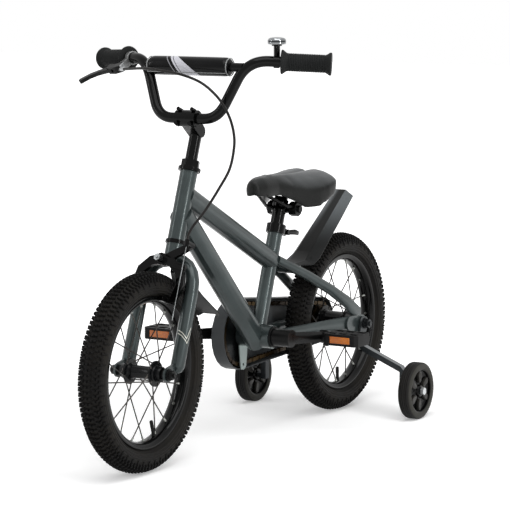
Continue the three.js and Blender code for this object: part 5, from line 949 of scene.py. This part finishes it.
def make_chain():
    points = [chain_point(k) for k in range(link_count)]
    joined = None
    for kind, offset in enumerate((outer_plate, inner_plate)):
        places, turns = [], []
        for k in range(kind, link_count, 2):
            here, there = points[k], points[(k + 1) % link_count]
            ahead = there - here
            places.append(here.lerp(there, 0.5))
            turns.append((0, -math.atan2(ahead.z, ahead.x), 0))
        plates = link_plate(-offset, link_plate(offset))
        joined = at_each(places, turns, plates, "chain_bronze", joined)
    profile = [(0, -4), (pin_radius, -4), (pin_radius, -1.9), (roller_radius, -1.9), (roller_radius, 1.9),
               (pin_radius, 1.9), (pin_radius, 4), (0, 4)]
    pin = turned(profile, Vector(), sideways, 12, ring=False)
    joined = at_each(points, [(0, 0, 0)] * link_count, pin, "chain_bronze", joined)
    piece("chain_links", joined, "chain_bronze", "frame", ["chain"])


# Bars, grips, pad and cable

def make_bar():
    path = rounded_path([on_steering(*p) for p in bar_points], bar_bends, 14)
    shape = tube(path, bar_radius, 28)
    forward, along = crossbar_place
    ends = [on_steering(forward, side * crossbar_half, along) for side in (-1, 1)]
    shape = tube(ends, crossbar_radius, 24, shape)
    piece("handlebar_tube", shape, "gloss_black", "steering_assembly", ["handlebar"])


def grip_profile():
    """From the inner flange to the end cap: a flared flange, fine ribs and a round end."""
    profile = [(0, 0.4), (bar_radius + 0.1, 0), (19.8, 0), (21.2, 0.8), (21.5, 1.8), (21.0, 3.0),
               (18.2, 6.6), (16.2, 9.4)]
    at, end = 11.0, grip_length
    while at < end - 12:
        profile += [(15.8, at), (15.8, at + 1.5), (15.2, at + 1.9), (15.2, at + 2.6)]
        at += rib_pitch
    return profile + [
        (15.9, end - 10.5), (17.2, end - 7.4), (19.6, end - 4.4), (grip_end_radius, end - 3.0),
        (grip_end_radius, end - 1.2), (19.0, end - 0.2), (14, end), (0, end),
    ]


def make_grips():
    """Each grip ends where its CAD node does, with its round end square to the bar."""
    for name, side in left_right.items():
        shoulder, end = (on_steering(x, side * y, z) for x, y, z in bar_points[-2:])
        low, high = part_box(f"grip_{name}")
        away = (end - shoulder).normalized()
        reach = abs((high.y if side > 0 else low.y) / MM)
        tip_slack = grip_end_radius * math.sqrt(1 - away.y ** 2)
        tip = shoulder + away * ((reach - tip_slack - abs(shoulder.y)) / abs(away.y))
        shape = turned(grip_profile(), tip - away * grip_length, away, 40, ring=False)
        piece(f"grip_sleeve_{name}", shape, "grip_rubber", "steering_assembly",
              [f"grip_{name}"], crease=50)


def settle(obj, modifier):
    """Puts a modifier's result into the object's mesh."""
    result = evaluated_mesh(obj)
    obj.modifiers.remove(modifier)
    obj.data = result


def swell(name, shape, voxel, cap, smoothing):
    """A padded body: remeshed evenly, blown up as cloth under pressure, its moves capped, and smoothed."""
    mesh = as_mesh(name, shape)
    mesh.transform(Matrix.Scale(MM, 4))
    made = loose_object(name, mesh)
    remesh = made.modifiers.new("even", "REMESH")
    remesh.mode = "VOXEL"
    remesh.voxel_size = voxel * MM
    settle(made, remesh)
    rest = [v.co.copy() for v in made.data.vertices]
    cloth = made.modifiers.new("swell", "CLOTH")
    settings = cloth.settings
    settings.use_pressure = True
    settings.uniform_pressure_force = cloth_pressure
    settings.effector_weights.gravity = 0
    settings.tension_stiffness = settings.compression_stiffness = cloth_stiffness
    settings.shear_stiffness = cloth_shear
    cloth.point_cache.frame_start = 1
    cloth.point_cache.frame_end = cloth_frames
    scene = bpy.context.scene
    for number in range(1, cloth_frames + 1):
        scene.frame_set(number)
    settle(made, cloth)
    scene.frame_set(1)
    for vertex, start in zip(made.data.vertices, rest):
        move = vertex.co - start
        if move.length > cap * MM:
            vertex.co = start + move.normalized() * cap * MM
    soften = made.modifiers.new("soften", "SMOOTH")
    soften.factor = 0.5
    soften.iterations = smoothing
    settle(made, soften)
    finer = made.modifiers.new("finer", "SUBSURF")
    finer.levels = finer.render_levels = 1
    settle(made, finer)
    return made


def make_pad():
    """The crossbar's pad, a little flattened below, with its piping and seam."""
    centre = on_steering(crossbar_place[0], pad_shift, crossbar_place[1])
    up = on_steering(0, 0, 1) - on_steering(0, 0, 0)
    end = [(0, -pad_half), (11, -pad_half), (14.6, -pad_half + 1.2), (16.6, -pad_half + 4),
           (17.3, -pad_half + 10)]
    profile = end + [(pad_radius, at) for at in (-50, -25, 0, 25, 50)]
    profile += [(radius, -along) for radius, along in reversed(end)]
    pad = swell("crossbar_pad_cover", turned(profile, centre, sideways, 48, ring=False), 4, 1.0, 4)
    for vertex in pad.data.vertices:
        level = (vertex.co / MM - centre).dot(up)
        if level < pad_low:
            vertex.co += up * MM * pad_flattening * (pad_low - level)
    dress(pad.data, "pad_cover")
    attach(pad, "steering_assembly")
    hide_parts("crossbar_pad")
    trim = None
    for side in (-1, 1):
        place = centre + Vector((0, side * (pad_half - 2.0), 0))
        ring = [(15.4 + piping_radius * math.cos(a), piping_radius * math.sin(a))
                for a in (k * math.pi / 4 for k in range(8))]
        trim = turned(ring, place, sideways, 40, shape=trim)
    seam_out = on_steering(0.55, 0, -0.83) - on_steering(0, 0, 0)
    low = [centre + seam_out.normalized() * 17.4 + Vector((0, y, 0)) for y in (-pad_half + 3, pad_half - 3)]
    trim = tube(low, seam_radius, 8, trim)
    piece("crossbar_pad_piping", trim, "pad_piping", "steering_assembly")


def make_cable():
    """The brake cable's outer cover from the lever's adjuster to the caliper's stop."""
    points = [on_steering(*p) for p in cable_route]
    shape = tube(smooth_path(points, 8), cable_radius, 14)
    piece("brake_cable_cover", shape, "cable_cover", "steering_assembly", ["brake_cable"])


# Saddle

def saddle_start():
    """The saddle's solid, merged, its nose lifted and its lower side brought down towards the nose."""
    shape = bmesh.new()
    shape.from_mesh(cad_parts["saddle_cushion"].data)
    bmesh.ops.remove_doubles(shape, verts=shape.verts, dist=1e-6)
    shape.transform(Matrix.Scale(1 / MM, 4))
    low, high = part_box("saddle_cushion")
    for vertex in shape.verts:
        along = (high.x / MM - vertex.co.x) / ((high.x - low.x) / MM)
        nose = max(1 - along / saddle_nose_end, 0)
        deeper = 1 + 0.42 * max(1 - along / 0.62, 0) + 0.05 * math.exp(-((along - 0.7) / 0.2) ** 2)
        vertex.co.z = saddle_crown - (saddle_crown - vertex.co.z) * deeper + saddle_nose_lift * nose
    return closed(shape)


def make_saddle():
    """The padded cover with a shallow groove along its rear half. Its point attribute says where a painted
    sheen makes it paler.
    """
    cover = swell("saddle_cover", saddle_start(), 3.2, 2.2, 12)
    mesh = cover.data
    top_sheen_share = mesh.attributes.new("top_sheen_share", "FLOAT", "POINT")
    low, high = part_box("saddle_cushion")
    for i, vertex in enumerate(mesh.vertices):
        along = (high.x - vertex.co.x) / (high.x - low.x)
        # Painted sheen: paler where the cover faces up, more so towards the rear lobes.
        lobe = min(max((along - 0.25) / 0.3, 0), 1) * 0.75 + 0.25
        top_sheen_share.data[i].value = lobe * min(max((vertex.normal.z - 0.1) / 0.85, 0), 1) ** 1.5
        if along > groove_from and vertex.normal.z > 0.3 and abs(vertex.co.y) < 2 * groove_half:
            fade = min((along - groove_from) / 0.2, 1)
            vertex.co.z -= groove_depth * fade * math.exp(-(vertex.co.y / groove_half) ** 2)
    dress(mesh, "saddle_vinyl")
    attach(cover, "saddle")
    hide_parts("saddle_cushion")


# Pedal reflectors and stabiliser wheels

def make_reflectors():
    for name in left_right:
        low, high = (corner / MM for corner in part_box(f"pedal_{name}"))
        middle = (low + high) / 2
        shape = None
        for end, face in ((-1, low.x), (1, high.x)):
            rings = []
            for x, trim in ((face - end * 1.5, 0), (face, 0), (face + end * 0.7, 1.0)):
                rings.append([Vector((x, middle.y + a * (21 - trim), middle.z + b * (6.2 - trim)))
                              for a, b in corners])
            shape = lofted(rings, shape)
        piece(f"pedal_reflectors_{name}", shape, "amber_reflector", f"pedal_{name}_body",
              crease=20)


def petal(side):
    """One grey petal of the stabiliser wheel's dish, with its reach along x."""
    shares = [(0.0, 0.35), (0.12, 0.7), (0.4, 0.88), (0.7, 1.0), (0.9, 0.8), (1.0, 0.4)]
    right = [(16 + 22 * along, 6 * wide) for along, wide in shares]
    outline = right + [(x, -z) for x, z in reversed(right)]
    middle = sum(x for x, _ in outline) / len(outline)
    rings = []
    for level, trim in ((3.0, 1.0), (8.8, 1.0), (9.6, 0.86)):
        rings.append([Vector((middle + (x - middle) * trim, side * level, z * trim)) for x, z in outline])
    return lofted(rings)


def make_stabiliser(name, side):
    place = Vector((stabiliser_place.x, side * stabiliser_place.y, stabiliser_place.z))
    body = f"stabiliser_wheel_{name}_body"
    reach, half = stabiliser_radius, stabiliser_half
    crown = [(reach, 0)]
    for at in stabiliser_grooves:
        crown += [(reach, at - 0.7), (reach - 1.4, at - 0.3), (reach - 1.4, at + 0.3), (reach, at + 0.7)]
    crown += [(reach, 8.6), (reach - 0.9, 10.6), (reach - 3, 12.0), (reach - 6, half), (44, half),
              (42, 12.0), (41, 11.0)]
    tyre_shape = turned(both_sides(crown), place, sideways, 72)
    piece(f"stabiliser_tyre_{name}", tyre_shape, "stabiliser_tread", body,
          [f"stabiliser_wheel_{name}"])
    dish = [(6.2, 10.6), (10, 10.6), (11, 10.0), (12.5, 6.0), (15, 4.6), (37, 4.6), (39, 6.0), (40, 10.4),
            (41.4, 10.9), (41.4, 0)]
    dish += [(radius, -y) for radius, y in reversed(dish[:-1])]
    piece(f"stabiliser_dish_{name}", turned(dish, place, sideways, 64), "stabiliser_dish", body)
    petals = None
    for face in (1, -1):
        petals = around(petal(face), stabiliser_petals, place, "petal_grey", math.pi / 6, petals)
    piece(f"stabiliser_petals_{name}", petals, "petal_grey", body)


# CAD nodes that stay: evened out, their edges softened and their finishes put on

def evened_tree():
    """Merges a node's loose triangles and shades them smooth up to the crease angle."""
    tree, given = new_tree("evened", {})
    near = {"Geometry": given["Geometry"], "Distance": 1e-5}
    bare = add(tree, "GeometryNodeMergeByDistance", near).outputs[0]
    for label in ("custom_normal", "sharp_edge", "sharp_face"):
        bare = add(tree, "GeometryNodeRemoveAttribute", {"Geometry": bare, "Name": label}).outputs[0]
    smooth = {"Geometry": bare, "Shade Smooth": True}
    smooth = add(tree, "GeometryNodeSetShadeSmooth", smooth, domain="FACE").outputs[0]
    angle = add(tree, "GeometryNodeInputMeshEdgeAngle").outputs[0]
    steep = calc("GREATER_THAN", angle, math.radians(crease_degrees))
    creased = {"Geometry": smooth, "Selection": steep, "Shade Smooth": False}
    creased = add(tree, "GeometryNodeSetShadeSmooth", creased, domain="EDGE").outputs[0]
    add(tree, "NodeGroupOutput", {0: creased})
    return tree


evened = evened_tree()
node_finish = {
    "frame_paint": "head_tube top_tube down_tube seat_tube chainstay_left chainstay_right seatstay_left "
                   "seatstay_right",
    "shell_paint": "bottom_bracket_shell",
    "fork_paint": "fork",
    "gloss_black": "headset_lower headset_upper headset_locknut stem stem_cap caliper_arm_left "
                   "caliper_arm_right seat_clamp seat_quick_release seat_post bell_base",
    "crank_black": "crank_left crank_right",
    "satin_black": "bottom_bracket_cartridge saddle_clamp saddle_rails front_axle brake_lever bell_striker "
                   "saddle_base",
    "guard_plastic": "front_mudguard",
    "tail_plastic": "rear_mudguard",
    "chain_guard_plastic": "chain_guard",
    "dark_steel": "coaster_brake_arm chainring rear_axle",
    "chain_bronze": "rear_sprocket",
    "gun_metal": "stabiliser_arm_left stabiliser_arm_right",
    "zinc": "caliper_bolt",
    "wire_steel": "brake_inner_wire",
    "bell_chrome": "bell_dome",
    "lever_silver": "brake_lever_bracket",
    "pedal_plastic": "pedal_left pedal_right",
}


def dress_nodes():
    for name, nodes in node_finish.items():
        for node in nodes.split():
            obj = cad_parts[node]
            if obj.data.materials:
                for slot in obj.material_slots:
                    slot.material = finishes[name]
            else:
                obj.data.materials.append(finishes[name])
            obj.modifiers.new("even", "NODES").node_group = evened
            soft = obj.modifiers.new("soft_edges", "BEVEL")
            soft.width = soft_edges.get(node, plain_edge) * MM
            soft.segments = 2
            soft.limit_method = "ANGLE"
            soft.angle_limit = math.radians(crease_degrees)
            soft.harden_normals = True


set_camera()
make_cable()
make_room()
make_lamps()
make_wheel("front", front_axle, front_valve_lean, front_flanges, front_hub())
make_wheel("rear", rear_axle, rear_valve_lean, rear_flanges, rear_hub())
make_chain()
make_bar()
make_grips()
make_pad()
make_saddle()
make_reflectors()
make_stabiliser("left", 1)
make_stabiliser("right", -1)
dress_nodes()
bpy.context.scene.view_settings.view_transform = "Standard"
